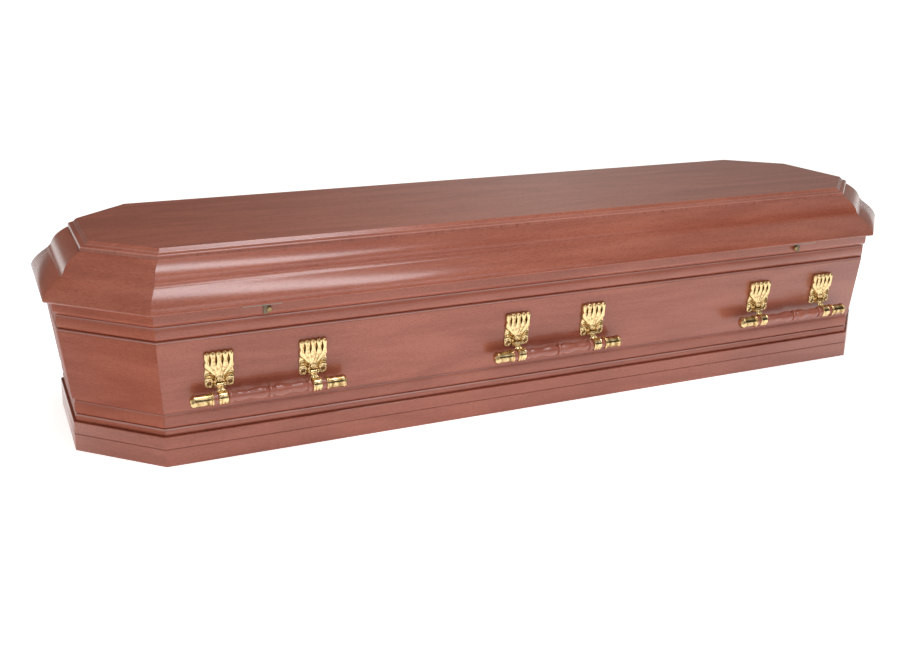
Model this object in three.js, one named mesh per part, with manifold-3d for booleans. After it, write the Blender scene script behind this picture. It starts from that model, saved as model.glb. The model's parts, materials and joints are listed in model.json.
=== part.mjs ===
// A wooden coffin with eight canted sides, a lift-off moulded lid, six swing-bar
// handles and four lid catches. Millimetres, +Z up, +X along the length.
// The origin is the middle of the underside.
import * as THREE from "three";
import { mergeVertices } from "three/addons/utils/BufferGeometryUtils.js";
import Module from "manifold-3d";

const wasm = await Module();
wasm.setup();

// Outline of the walls' outer faces at floor level
const BASE_LENGTH = 1914.6;
const BASE_WIDTH = 530.2;
const CORNER_CUT = 140;

// Walls
const WALL_HEIGHT = 307;
const WALL_THICKNESS = 18;
const WALL_CANT_DEG = 6.17;
const MITRE_GAP = 0.3;

// Top band of the walls: a frieze over a bead, cut into the boards
const FRIEZE_HEIGHT = 27;
const FRIEZE_SETBACK = 1.8;
const TOP_GROOVE_DEPTH = 7;
const TOP_BEAD_HEIGHT = 27;
const TOP_BEAD_SETBACK = 1.6;
const PANEL_ROUNDOVER = 7;

// Foot of the walls: a torus and a bead between the panel and the plinth
const TORUS_HEIGHT = 31;
const TORUS_SETBACK = 0.6;
const FOOT_GROOVE_DEPTH = 4.6;
const FOOT_BEAD_HEIGHT = 15;
const FOOT_BEAD_SETBACK = 0.4;
const QUIRK_DEPTH = 5;

// Plinth, a mitred frame round the foot of the walls
const PLINTH_HEIGHT = 59.4;
const PLINTH_THICKNESS = 14.7;
const PLINTH_SETBACK = 1.5;
const PLINTH_LINE_HEIGHT = 35;
const PLINTH_LINE_SIZE = 1.6;

// Floor board
const FLOOR_THICKNESS = 18;
const FIT_GAP = 0.3;

// Lid: a mitred frame with a double wave, and a flat board with a moulded edge
const LID_FRAME_HEIGHT = 84.3;
const LID_OVERHANG = 11.4;
const LID_SPREAD = 73;
const LID_NOSE = 4;
const LID_FRAME_THICKNESS = 21;
const LID_SEAT_WIDTH = 33;
const LID_BOARD_THICKNESS = 17.2;
const LID_BOARD_EDGE = 17.6;
const LID_BOARD_BEVEL = 5.5;
const LID_BOARD_FILLET = 4;

// Handles: places along each long side, and the plate's lower edge
const HANDLE_SPACING = 625;
const HANDLE_COUNT = 3;
const PLATE_FOOT_HEIGHT = 150;
const ARM_SPACING = 182;

// Handle plate
const PLATE_WIDTH = 57;
const PLATE_HEIGHT = 74;
const PLATE_THICKNESS = 4;
const LEAF_COUNT = 5;
const LEAF_RISE = 4;
const LEAF_FOOT_WIDTH = 3.4;
const VALLEY_RISE = 0.8;
const SCALLOP_DEPTH = 2.6;
const FOOT_ARCH = 2.6;
const RIB_COUNT = 2;
const RIB_RISE = 2;
const RIB_WIDTH = 4.6;
const SCREW_BOSS_RADIUS = 9;
const ROSETTE_RADIUS = 6.4;
const ROSETTE_RISE = 6.5;
const CHEEK_WIDTH = 4.4;

// Handle arm, its pin in the plate and its ring round the bar
const PIVOT_UP = 5;
const PIVOT_OUT = 7;
const PIN_RADIUS = 1.6;
const PIN_GAP = 0.35;
const HUB_RADIUS = 4.6;
const HUB_WIDTH = 13.5;
const SWING_GAP = 0.6;
const BAR_DROP = 13;
const BAR_STAND_OFF = 26;
const RING_WIDTH = 18.5;
const RING_WALL = 2.4;
const NECK_WIDTH = 12;
const NECK_THICKNESS = 5;

// Handle bar and its end tips
const BAR_SEAT_RADIUS = 10.6;
const BAR_SWELL_RADIUS = 12.3;
const BAR_WAIST_RADIUS = 9.2;
const BAR_BEAD_RADIUS = 12;
const BAR_BEAD_WIDTH = 9;
const REEL_WIDTH = 11;
const REEL_GROOVE_RADIUS = 9.6;
const BAR_SHOW = 9;
const TIP_LENGTH = 44;
const TIP_RADIUS = 11.8;
const TIP_COLLAR_RADIUS = 14;
const TIP_COLLAR_WIDTH = 6;
const TIP_RIM_RADIUS = 13;
const TIP_RIM_WIDTH = 3;
const TIP_CAP_LENGTH = 7;
const TIP_SOCKET_DEPTH = 12;

// Lid catches under the rim
const CATCH_SPACING = 625;
const CATCH_STRIP_LENGTH = 90;
const CATCH_STRIP_THICKNESS = 1.6;
const CATCH_TAB_WIDTH = 9;
const CATCH_TAB_DROP = 21;
const CATCH_TAB_THICKNESS = 3;
const CATCH_KNOB_RADIUS = 4.6;
const CATCH_KNOB_LENGTH = 5;

// How finely curves are cut
const ROUND_SIDES = 8;
const BORE_SIDES = 6;
const JOIN_TOLERANCE = 0.001;

const CANT = THREE.MathUtils.degToRad(WALL_CANT_DEG);
const SIDE_NAMES = [
  "front",
  "front_right",
  "right_end",
  "back_right",
  "back",
  "back_left",
  "left_end",
  "front_left",
];
const SIDE_COUNT = SIDE_NAMES.length;

const mahogany = new THREE.MeshStandardMaterial({ color: 0x9a5b4d, roughness: 0.35, metalness: 0 });
const turnedWood = new THREE.MeshStandardMaterial({ color: 0x85463a, roughness: 0.25, metalness: 0 });
const gold = new THREE.MeshStandardMaterial({ color: 0xe6c46a, roughness: 0.2, metalness: 1 });
const bronze = new THREE.MeshStandardMaterial({ color: 0x6f5a3c, roughness: 0.4, metalness: 1 });

// Solids and meshes

function toSolid(geometry) {
  const bare = geometry.clone();
  bare.deleteAttribute("normal");
  bare.deleteAttribute("uv");
  const merged = mergeVertices(bare, JOIN_TOLERANCE);
  return new wasm.Manifold(
    new wasm.Mesh({
      numProp: 3,
      vertProperties: merged.getAttribute("position").array,
      triVerts: new Uint32Array(merged.index.array),
    }),
  );
}

function toGeometry(solid) {
  const mesh = solid.asOriginal().simplify(JOIN_TOLERANCE).getMesh();
  const geometry = new THREE.BufferGeometry();
  geometry.setAttribute("position", new THREE.BufferAttribute(mesh.vertProperties, 3));
  geometry.setIndex(new THREE.BufferAttribute(mesh.triVerts, 1));
  return geometry;
}

function fuse(geometries) {
  return geometries.map(toSolid).reduce((whole, next) => whole.add(next));
}

function indexed(points, triangles) {
  const geometry = new THREE.BufferGeometry();
  geometry.setAttribute("position", new THREE.Float32BufferAttribute(points.flat(), 3));
  geometry.setIndex(triangles.flat());
  return geometry;
}

function named(name, geometry, material) {
  const mesh = new THREE.Mesh(geometry, material);
  mesh.name = name;
  return mesh;
}

// The eight-sided outline

// How far a side of the outline lies from the middle, moved out by an offset.
function sideDistance(side, offset) {
  const halfLength = BASE_LENGTH / 2;
  const halfWidth = BASE_WIDTH / 2;
  if (side % 2 === 1) return (halfLength + halfWidth - CORNER_CUT) / Math.SQRT2 + offset;
  return (side % 4 === 0 ? halfWidth : halfLength) + offset;
}

function sideDirection(side) {
  const turn = ((side - 2) * Math.PI) / 4;
  return new THREE.Vector2(Math.cos(turn), Math.sin(turn));
}

// The corner where a side meets the one before it.
function corner(side, offset) {
  const before = (side + SIDE_COUNT - 1) % SIDE_COUNT;
  const a = sideDirection(before);
  const b = sideDirection(side);
  const p = sideDistance(before, offset);
  const q = sideDistance(side, offset);
  const cross = a.x * b.y - a.y * b.x;
  return new THREE.Vector2((p * b.y - q * a.y) / cross, (q * a.x - p * b.x) / cross);
}

// A profile is a closed list of [offset, height] points, anticlockwise with the offset to the right.
function profileStations(profile, side, atEnd, trim) {
  return profile.map(([offset, height]) => {
    const start = corner(side, offset);
    const end = corner((side + 1) % SIDE_COUNT, offset);
    const along = end.clone().sub(start).normalize();
    const at = atEnd ? end.addScaledVector(along, -trim) : start.addScaledVector(along, trim);
    return [at.x, at.y, height];
  });
}

// Quads between two rings of points, facing out for a profile swept from the first to the second.
function bridge(first, second, count) {
  const faces = [];
  for (let k = 0; k < count; k++) {
    const next = (k + 1) % count;
    faces.push([first + k, second + k, second + next]);
    faces.push([first + k, second + next, first + next]);
  }
  return faces;
}

function profileCap(profile, first, reversed) {
  const contour = profile.map(([offset, height]) => new THREE.Vector2(offset, height));
  return THREE.ShapeUtils.triangulateShape(contour, []).map(([a, b, c]) =>
    reversed ? [first + a, first + c, first + b] : [first + a, first + b, first + c],
  );
}

// One board of the given profile along one side, mitred at both ends.
function board(profile, side) {
  const count = profile.length;
  const start = profileStations(profile, side, false, MITRE_GAP / 2);
  const end = profileStations(profile, side, true, MITRE_GAP / 2);
  const faces = [
    ...bridge(0, count, count),
    ...profileCap(profile, 0, false),
    ...profileCap(profile, count, true),
  ];
  return indexed([...start, ...end], faces);
}

// A closed mitred frame of the given profile round all eight sides.
function frame(profile) {
  const count = profile.length;
  const points = [];
  const faces = [];
  for (let side = 0; side < SIDE_COUNT; side++) {
    points.push(...profileStations(profile, side, false, 0));
    faces.push(...bridge(side * count, ((side + 1) % SIDE_COUNT) * count, count));
  }
  return indexed(points, faces);
}

// A solid slab whose edge follows the [offset, height] points from its underside to its top.
function slab(edge) {
  const points = [];
  const faces = [];
  for (const [offset, height] of edge) {
    for (let side = 0; side < SIDE_COUNT; side++) {
      const at = corner(side, offset);
      points.push([at.x, at.y, height]);
    }
  }
  const top = (edge.length - 1) * SIDE_COUNT;
  for (let level = 0; level < edge.length - 1; level++) {
    for (let side = 0; side < SIDE_COUNT; side++) {
      const next = (side + 1) % SIDE_COUNT;
      const low = level * SIDE_COUNT;
      const high = low + SIDE_COUNT;
      faces.push([low + side, low + next, high + next]);
      faces.push([low + side, high + next, high + side]);
    }
  }
  for (let side = 1; side < SIDE_COUNT - 1; side++) {
    faces.push([0, side + 1, side]);
    faces.push([top, top + side, top + side + 1]);
  }
  return indexed(points, faces);
}

// Profiles

// Points of a smooth bend from one point to another, leaving and arriving at the given headings.
function bend(from, to, leaveDeg, arriveDeg, steps) {
  const leave = THREE.MathUtils.degToRad(leaveDeg);
  const arrive = THREE.MathUtils.degToRad(arriveDeg);
  const reach =
    ((to[0] - from[0]) * Math.sin(arrive) - (to[1] - from[1]) * Math.cos(arrive)) /
    Math.sin(arrive - leave);
  const control = new THREE.Vector2(
    from[0] + reach * Math.cos(leave),
    from[1] + reach * Math.sin(leave),
  );
  const curve = new THREE.QuadraticBezierCurve(
    new THREE.Vector2(...from),
    control,
    new THREE.Vector2(...to),
  );
  return curve
    .getPoints(steps)
    .slice(1)
    .map((p) => [p.x, p.y]);
}

// Points of a bead that bulges from a lower groove to an upper one.
function bead(low, high, crest, steps = 3) {
  const points = [];
  for (let step = 1; step < steps; step++) {
    const share = step / steps;
    const chord = THREE.MathUtils.lerp(low[0], high[0], share);
    const bulge = Math.sqrt(1 - (2 * share - 1) ** 2);
    points.push([chord + (crest - chord) * bulge, THREE.MathUtils.lerp(low[1], high[1], share)]);
  }
  return points;
}

// Offset of the canted panel face, and of the walls' inner face, at a height.
const panelOffset = (height) => height * Math.tan(CANT);
const innerOffset = (height) => panelOffset(height) - WALL_THICKNESS / Math.cos(CANT);

const friezeFoot = WALL_HEIGHT - FRIEZE_HEIGHT;
const topBeadFoot = friezeFoot - TOP_BEAD_HEIGHT;
const panelTop = topBeadFoot - PANEL_ROUNDOVER;
const footBeadTop = PLINTH_HEIGHT + FOOT_BEAD_HEIGHT;
const panelFoot = footBeadTop + TORUS_HEIGHT + FOOT_GROOVE_DEPTH / 3;

function wallProfile() {
  const footBead = [panelOffset(PLINTH_HEIGHT) - FOOT_BEAD_SETBACK, PLINTH_HEIGHT];
  const footGroove = [panelOffset(footBeadTop) - FOOT_GROOVE_DEPTH, footBeadTop];
  const quirk = [panelOffset(panelFoot) - QUIRK_DEPTH, panelFoot - QUIRK_DEPTH];
  const torusCrest = panelOffset((footBeadTop + panelFoot) / 2) - TORUS_SETBACK;
  const footCrest = panelOffset(PLINTH_HEIGHT) + FOOT_BEAD_SETBACK * 5;
  const topGroove = [panelOffset(topBeadFoot) - TOP_GROOVE_DEPTH, topBeadFoot];
  const friezeGroove = [panelOffset(friezeFoot) - TOP_GROOVE_DEPTH, friezeFoot];
  const beadCrest = panelOffset((topBeadFoot + friezeFoot) / 2) - TOP_BEAD_SETBACK;
  const friezeFace = panelOffset(WALL_HEIGHT) - FRIEZE_SETBACK;
  return [
    [innerOffset(0), 0],
    [panelOffset(0), 0],
    footBead,
    ...bead(footBead, footGroove, footCrest),
    footGroove,
    ...bead(footGroove, quirk, torusCrest),
    quirk,
    [panelOffset(panelFoot) - QUIRK_DEPTH, panelFoot],
    [panelOffset(panelFoot), panelFoot],
    [panelOffset(panelTop), panelTop],
    ...bend([panelOffset(panelTop), panelTop], topGroove, 90 - WALL_CANT_DEG, 165, 2),
    ...bead(topGroove, friezeGroove, beadCrest),
    friezeGroove,
    ...bend(friezeGroove, [friezeFace, friezeFoot + FRIEZE_HEIGHT / 3], 35, 88, 2),
    [friezeFace, WALL_HEIGHT],
    [innerOffset(WALL_HEIGHT), WALL_HEIGHT],
  ];
}

function plinthProfile() {
  const inner = (height) => panelOffset(height) + FIT_GAP;
  const face = (height) =>
    PLINTH_THICKNESS - (PLINTH_SETBACK * height) / PLINTH_HEIGHT;
  return [
    [inner(0), 0],
    [face(0), 0],
    [face(PLINTH_LINE_HEIGHT - PLINTH_LINE_SIZE), PLINTH_LINE_HEIGHT - PLINTH_LINE_SIZE],
    [face(PLINTH_LINE_HEIGHT) - PLINTH_LINE_SIZE, PLINTH_LINE_HEIGHT],
    [face(PLINTH_LINE_HEIGHT), PLINTH_LINE_HEIGHT],
    [face(PLINTH_HEIGHT), PLINTH_HEIGHT],
    [inner(PLINTH_HEIGHT), PLINTH_HEIGHT],
  ];
}

const lidFrameTop = WALL_HEIGHT + LID_FRAME_HEIGHT;
const lidTop = lidFrameTop + LID_BOARD_THICKNESS;
const rimOffset = panelOffset(WALL_HEIGHT) - FRIEZE_SETBACK + LID_OVERHANG;
const boardOffset = rimOffset - LID_SPREAD;

function lidFrameProfile() {
  const height = (share) => WALL_HEIGHT + share * LID_FRAME_HEIGHT;
  const out = (share) => boardOffset + share * LID_SPREAD;
  const rim = [rimOffset, WALL_HEIGHT];
  const nose = [rimOffset + LID_NOSE, height(0.06)];
  const valleyLow = [out(0.62), height(0.46)];
  const valleyHigh = [out(0.465), height(0.615)];
  const top = [boardOffset, lidFrameTop];
  const seat = [rimOffset - LID_SEAT_WIDTH, WALL_HEIGHT];
  const inside = [boardOffset - LID_FRAME_THICKNESS, lidFrameTop - LID_FRAME_THICKNESS / 2];
  return [
    seat,
    rim,
    ...bend(rim, nose, 5, 110, 3),
    ...bend(nose, valleyLow, 110, 144, 5),
    ...bend(valleyLow, valleyHigh, 144, 110, 3),
    ...bend(valleyHigh, top, 110, 152, 5),
    [inside[0], lidFrameTop],
    inside,
    ...bend(inside, seat, -15, -68, 2).slice(0, -1),
  ];
}

function lidBoardEdge() {
  const edge = boardOffset - LID_BOARD_EDGE;
  const shoulder = [edge + LID_BOARD_BEVEL, lidTop - LID_BOARD_BEVEL];
  const fillet = [edge + LID_BOARD_EDGE - LID_BOARD_FILLET, lidFrameTop + LID_BOARD_THICKNESS / 2];
  return [
    [boardOffset - FIT_GAP, lidFrameTop],
    [boardOffset - FIT_GAP, lidFrameTop + LID_BOARD_FILLET / 2],
    ...bend([boardOffset - FIT_GAP, lidFrameTop + LID_BOARD_FILLET / 2], fillet, 90, 160, 3),
    ...bend(fillet, shoulder, 185, 130, 2),
    [edge, lidTop],
  ];
}

// Handle plates

const slotTop = PIVOT_UP + HUB_RADIUS + SWING_GAP;
const rosetteUp = slotTop + ROSETTE_RADIUS;

// A strip of side-by-side ridges that runs between two places on a plate.
function fluted(from, to, ridges, rise) {
  const foot = PLATE_THICKNESS / 2;
  const along = to.at.clone().sub(from.at).normalize();
  const across = new THREE.Vector2(-along.y, along.x);
  const section = [[1, foot]];
  for (let k = 0; k <= 2 * ridges; k++) {
    section.push([1 - k / ridges, PLATE_THICKNESS + (k % 2 ? rise : VALLEY_RISE)]);
  }
  section.push([-1, foot]);
  const points = [];
  for (const end of [from, to]) {
    for (const [share, height] of section) {
      const at = end.at.clone().addScaledVector(across, (share * end.width) / 2);
      points.push([at.x, at.y, height]);
    }
  }
  const count = section.length;
  const turnOver = ([a, b, c]) => [a, c, b];
  return indexed(points, [
    ...bridge(0, count, count).map(turnOver),
    ...profileCap(section, 0, true),
    ...profileCap(section, count, false),
  ]);
}

function roundPost(at, radius, low, high, sides, topRadius = radius) {
  const post = new THREE.CylinderGeometry(topRadius, radius, high - low, sides);
  post.rotateX(Math.PI / 2);
  post.translate(at.x, at.y, (low + high) / 2);
  return post;
}

function plateOutline() {
  const half = PLATE_WIDTH / 2;
  const topStep = PLATE_WIDTH / LEAF_COUNT;
  const outline = new THREE.Shape();
  outline.moveTo(-SCREW_BOSS_RADIUS, FOOT_ARCH);
  outline.lineTo(SCREW_BOSS_RADIUS, FOOT_ARCH);
  outline.lineTo(half - SCREW_BOSS_RADIUS, 0);
  outline.quadraticCurveTo(half, 0, half, SCREW_BOSS_RADIUS);
  outline.lineTo(half, PLATE_HEIGHT - SCALLOP_DEPTH);
  for (let k = 1; k <= LEAF_COUNT; k++) {
    const left = half - k * topStep;
    outline.quadraticCurveTo(
      left + topStep / 2,
      PLATE_HEIGHT + SCALLOP_DEPTH,
      left,
      PLATE_HEIGHT - SCALLOP_DEPTH,
    );
  }
  outline.lineTo(-half, SCREW_BOSS_RADIUS);
  outline.quadraticCurveTo(-half, 0, SCREW_BOSS_RADIUS - half, 0);
  return outline;
}

// Leaves that fan out from the rosette to the scallops of the top edge.
function leafFan() {
  const from = {
    at: new THREE.Vector2(0, rosetteUp),
    width: LEAF_FOOT_WIDTH * LEAF_COUNT,
  };
  const to = {
    at: new THREE.Vector2(0, PLATE_HEIGHT - SCALLOP_DEPTH),
    width: PLATE_WIDTH - SCALLOP_DEPTH,
  };
  return fluted(from, to, LEAF_COUNT, LEAF_RISE);
}

// Ribs that sweep from a side edge down towards the rosette, clear of the leaves.
function sideRibs(hand) {
  const low = 2 * SCREW_BOSS_RADIUS + RIB_WIDTH;
  const inner = (LEAF_FOOT_WIDTH * LEAF_COUNT) / 2 + RIB_WIDTH;
  const outer = PLATE_WIDTH / 2 - 1.5 * SCALLOP_DEPTH;
  const from = {
    at: new THREE.Vector2(hand * inner, low - RIB_WIDTH / 2),
    width: RIB_WIDTH * RIB_COUNT,
  };
  const to = {
    at: new THREE.Vector2(hand * outer, low),
    width: RIB_WIDTH * RIB_COUNT,
  };
  return fluted(from, to, RIB_COUNT, RIB_RISE);
}

// A plate lies in its own frame: x across, y up from its lower edge, z out from the wall.
function plateSolid() {
  const base = new THREE.ExtrudeGeometry(plateOutline(), {
    depth: PLATE_THICKNESS,
    bevelEnabled: false,
    curveSegments: 2,
  });
  const hubHalf = HUB_WIDTH / 2 + SWING_GAP;
  const pieces = [base, leafFan(), sideRibs(-1), sideRibs(1)];
  const rosetteAt = new THREE.Vector2(0, rosetteUp);
  pieces.push(
    roundPost(
      rosetteAt,
      ROSETTE_RADIUS,
      PLATE_THICKNESS / 2,
      PLATE_THICKNESS + ROSETTE_RISE,
      BORE_SIDES,
      ROSETTE_RADIUS / 2,
    ),
  );
  const cheekTop = PIVOT_OUT + PIN_RADIUS + PIN_GAP + 1.5;
  for (const hand of [-1, 1]) {
    const cheek = new THREE.BoxGeometry(CHEEK_WIDTH, 2 * HUB_RADIUS, cheekTop);
    cheek.translate(hand * (hubHalf + CHEEK_WIDTH / 2), PIVOT_UP, cheekTop / 2);
    pieces.push(cheek);
  }
  let solid = fuse(pieces);
  const slot = new THREE.BoxGeometry(2 * hubHalf, 2 * slotTop, 4 * cheekTop);
  solid = solid.subtract(toSolid(slot));
  const pinHole = new THREE.CylinderGeometry(
    PIN_RADIUS + PIN_GAP,
    PIN_RADIUS + PIN_GAP,
    2 * hubHalf + CHEEK_WIDTH,
    BORE_SIDES,
  );
  pinHole.rotateZ(Math.PI / 2);
  pinHole.translate(0, PIVOT_UP, PIVOT_OUT);
  solid = solid.subtract(toSolid(pinHole));
  return toGeometry(solid);
}

// Handle arms, bars and tips, in the plate's frame with x = 0 at the arm

const barUp = -BAR_DROP;
const ringRadius = BAR_SEAT_RADIUS + FIT_GAP + RING_WALL;

function crossCylinder(radius, width, sides) {
  const shape = new THREE.CylinderGeometry(radius, radius, width, sides);
  return shape.rotateZ(Math.PI / 2);
}

function armSolid() {
  const hub = crossCylinder(HUB_RADIUS, HUB_WIDTH, BORE_SIDES);
  hub.translate(0, PIVOT_UP, PIVOT_OUT);
  const pin = crossCylinder(
    PIN_RADIUS,
    HUB_WIDTH + 2 * SWING_GAP + CHEEK_WIDTH - 2 * PIN_GAP,
    BORE_SIDES,
  );
  pin.translate(0, PIVOT_UP, PIVOT_OUT);
  const ring = crossCylinder(ringRadius, RING_WIDTH, ROUND_SIDES);
  ring.translate(0, barUp, BAR_STAND_OFF);
  const reach = Math.hypot(PIVOT_UP - barUp, BAR_STAND_OFF - PIVOT_OUT) - BAR_SEAT_RADIUS - FIT_GAP;
  const neck = new THREE.CylinderGeometry(NECK_WIDTH / 2, RING_WIDTH / 2, reach, 4, 1);
  neck.rotateY(Math.PI / 4);
  neck.scale(Math.SQRT2, 1, NECK_THICKNESS / NECK_WIDTH);
  neck.translate(0, -reach / 2, 0);
  neck.rotateX(-Math.atan2(BAR_STAND_OFF - PIVOT_OUT, PIVOT_UP - barUp));
  neck.translate(0, PIVOT_UP, PIVOT_OUT);
  const bore = crossCylinder(BAR_SEAT_RADIUS + FIT_GAP, RING_WIDTH * 2, ROUND_SIDES);
  bore.translate(0, barUp, BAR_STAND_OFF);
  return toGeometry(fuse([hub, pin, ring, neck]).subtract(toSolid(bore)));
}

// Turns a list of [x, radius] points, from left to right, round the X axis.
function turned(points, sides) {
  const outline = points.map(([along, radius]) => new THREE.Vector2(radius, along));
  return new THREE.LatheGeometry(outline, sides).rotateZ(-Math.PI / 2);
}

const armHalf = ARM_SPACING / 2;
const tipStart = armHalf + RING_WIDTH / 2 + BAR_SHOW;

// Right half of the bar's turning from the middle reel out to the end in the tip.
function barHalfTurning() {
  const seatIn = armHalf - RING_WIDTH / 2 - 1;
  const beadIn = seatIn - BAR_BEAD_WIDTH;
  const reelEnd = REEL_WIDTH / 2;
  const swell = reelEnd + (beadIn - reelEnd) * 0.25;
  const waist = reelEnd + (beadIn - reelEnd) * 0.86;
  return [
    [0, BAR_SWELL_RADIUS],
    [reelEnd, REEL_GROOVE_RADIUS],
    [swell, BAR_SWELL_RADIUS],
    [waist, BAR_WAIST_RADIUS],
    [beadIn + BAR_BEAD_WIDTH / 2, BAR_BEAD_RADIUS],
    [seatIn, BAR_SEAT_RADIUS],
    [tipStart + TIP_SOCKET_DEPTH - FIT_GAP, BAR_SEAT_RADIUS],
    [tipStart + TIP_SOCKET_DEPTH - FIT_GAP, 0],
  ];
}

function barSolid() {
  const right = barHalfTurning();
  const left = right
    .slice(1)
    .toReversed()
    .map(([along, radius]) => [-along, radius]);
  return turned([...left, ...right], ROUND_SIDES);
}

// A tip for the bar's right end: collar, plain length, rim and domed cap, with a socket for the bar.
function tipSolid() {
  const collarEnd = tipStart + TIP_COLLAR_WIDTH;
  const capStart = tipStart + TIP_LENGTH - TIP_CAP_LENGTH;
  const rimStart = capStart - TIP_RIM_WIDTH;
  const socket = BAR_SEAT_RADIUS + FIT_GAP;
  return turned(
    [
      [tipStart + TIP_SOCKET_DEPTH, 0],
      [tipStart + TIP_SOCKET_DEPTH, socket],
      [tipStart, socket],
      [tipStart, TIP_COLLAR_RADIUS],
      [collarEnd, TIP_COLLAR_RADIUS],
      [collarEnd, TIP_RADIUS],
      [rimStart, TIP_RADIUS],
      [capStart, TIP_RIM_RADIUS],
      [tipStart + TIP_LENGTH, TIP_RIM_RADIUS / 3],
      [tipStart + TIP_LENGTH, 0],
    ],
    ROUND_SIDES,
  );
}

// Catches

// A catch below the rim: a strip under the lid, a tab over the frieze and a knob beside the tab.
function catchSolid(hand) {
  const wallFace = sideDistance(0, panelOffset(WALL_HEIGHT) - FRIEZE_SETBACK);
  const rimFace = sideDistance(0, rimOffset);
  const near = wallFace + SWING_GAP;
  const depth = rimFace - near;
  const top = WALL_HEIGHT - FIT_GAP;
  const strip = new THREE.BoxGeometry(CATCH_STRIP_LENGTH, depth, CATCH_STRIP_THICKNESS);
  strip.translate(0, -near - depth / 2, top - CATCH_STRIP_THICKNESS / 2);
  const tab = new THREE.BoxGeometry(CATCH_TAB_WIDTH, CATCH_TAB_THICKNESS, CATCH_TAB_DROP);
  tab.translate(0, -near - CATCH_TAB_THICKNESS / 2, top - CATCH_TAB_DROP / 2);
  const knob = new THREE.CylinderGeometry(
    CATCH_KNOB_RADIUS,
    CATCH_KNOB_RADIUS,
    CATCH_KNOB_LENGTH,
    BORE_SIDES,
  );
  knob.translate(
    hand * (CATCH_TAB_WIDTH / 2 + CATCH_KNOB_RADIUS / 2),
    -near - CATCH_KNOB_LENGTH / 2,
    top - CATCH_TAB_DROP * 0.6,
  );
  return toGeometry(fuse([strip, tab, knob]));
}

// The whole coffin

function walls() {
  const group = new THREE.Group();
  const profile = wallProfile();
  SIDE_NAMES.forEach((name, side) => {
    group.add(named(`${name}_wall`, board(profile, side), mahogany));
  });
  return group;
}

function handle(prefix) {
  const group = new THREE.Group();
  for (const [label, hand] of [
    ["left", -1],
    ["right", 1],
  ]) {
    const plate = named(`${prefix}_${label}_plate`, plateSolid(), gold);
    plate.position.set(hand * armHalf, 0, FIT_GAP);
    const arm = named(`${prefix}_${label}_arm`, armSolid(), gold);
    arm.position.set(hand * armHalf, 0, FIT_GAP);
    const tipShape = tipSolid();
    if (hand < 0) tipShape.rotateY(Math.PI);
    const tip = named(`${prefix}_${label}_tip`, tipShape, gold);
    tip.position.set(0, barUp, BAR_STAND_OFF + FIT_GAP);
    group.add(plate, arm, tip);
  }
  const bar = named(`${prefix}_bar`, barSolid(), turnedWood);
  bar.position.set(0, barUp, BAR_STAND_OFF + FIT_GAP);
  group.add(bar);
  return group;
}

// Handles stand on the canted face of the front board; the back ones are the front ones turned round.
function handles(sideName, turn) {
  const side = new THREE.Group();
  const places = ["left", "middle", "right"];
  for (let k = 0; k < HANDLE_COUNT; k++) {
    const one = handle(`${sideName}_${places[k]}_handle`);
    one.rotation.x = Math.PI / 2 + CANT;
    one.position.set(
      (k - (HANDLE_COUNT - 1) / 2) * HANDLE_SPACING,
      -sideDistance(0, panelOffset(PLATE_FOOT_HEIGHT)),
      PLATE_FOOT_HEIGHT,
    );
    side.add(one);
  }
  side.rotation.z = turn;
  return side;
}

function catches(sideName, turn) {
  const side = new THREE.Group();
  for (const [label, hand] of [
    ["left", -1],
    ["right", 1],
  ]) {
    const one = named(`${sideName}_${label}_catch`, catchSolid(-hand), bronze);
    one.position.x = hand * CATCH_SPACING;
    side.add(one);
  }
  side.rotation.z = turn;
  return side;
}

const coffin = new THREE.Group();
coffin.add(walls());
coffin.add(named("plinth", frame(plinthProfile()), mahogany));
coffin.add(
  named(
    "floor_board",
    slab([
      [innerOffset(0) - FIT_GAP, 0],
      [innerOffset(FLOOR_THICKNESS) - FIT_GAP, FLOOR_THICKNESS],
    ]),
    mahogany,
  ),
);
coffin.add(named("lid_frame", frame(lidFrameProfile()), mahogany));
coffin.add(named("lid_top_board", slab(lidBoardEdge()), mahogany));
coffin.add(handles("front", 0), handles("back", Math.PI));
coffin.add(catches("front", 0), catches("back", Math.PI));

export default coffin;
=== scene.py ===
"""Dresses a packed coffin: moulded mahogany boards, cast gold handles, turned bars and lid catches.

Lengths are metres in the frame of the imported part: X along the coffin, Y to the back, Z up.
"""

import json
import math

import bmesh
import bpy
import numpy as np
from mathutils import Matrix, Vector


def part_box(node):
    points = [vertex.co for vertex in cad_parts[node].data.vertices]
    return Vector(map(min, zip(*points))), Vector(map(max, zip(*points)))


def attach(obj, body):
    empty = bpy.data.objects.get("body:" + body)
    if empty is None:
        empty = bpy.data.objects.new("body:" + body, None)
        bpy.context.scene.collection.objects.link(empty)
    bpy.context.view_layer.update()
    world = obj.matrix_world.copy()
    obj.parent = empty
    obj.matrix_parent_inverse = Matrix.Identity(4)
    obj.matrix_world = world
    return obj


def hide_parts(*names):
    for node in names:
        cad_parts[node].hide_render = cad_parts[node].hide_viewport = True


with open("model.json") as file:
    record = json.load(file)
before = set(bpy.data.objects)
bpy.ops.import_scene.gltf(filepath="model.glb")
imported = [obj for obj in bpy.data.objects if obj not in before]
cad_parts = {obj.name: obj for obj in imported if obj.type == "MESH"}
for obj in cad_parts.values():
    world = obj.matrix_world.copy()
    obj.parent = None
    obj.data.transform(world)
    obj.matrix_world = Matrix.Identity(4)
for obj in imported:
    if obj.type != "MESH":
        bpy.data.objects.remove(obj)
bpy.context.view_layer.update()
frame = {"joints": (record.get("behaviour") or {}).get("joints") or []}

bl_info = {
    "name": "Moulded Coffin",
    "version": (1, 0, 0),
    "blender": (4, 5, 0),
    "location": "View3D > Sidebar > Coffin",
    "description": "Builds the boards, handles and catches of a moulded coffin round its packed frame",
    "category": "Object",
}

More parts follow.
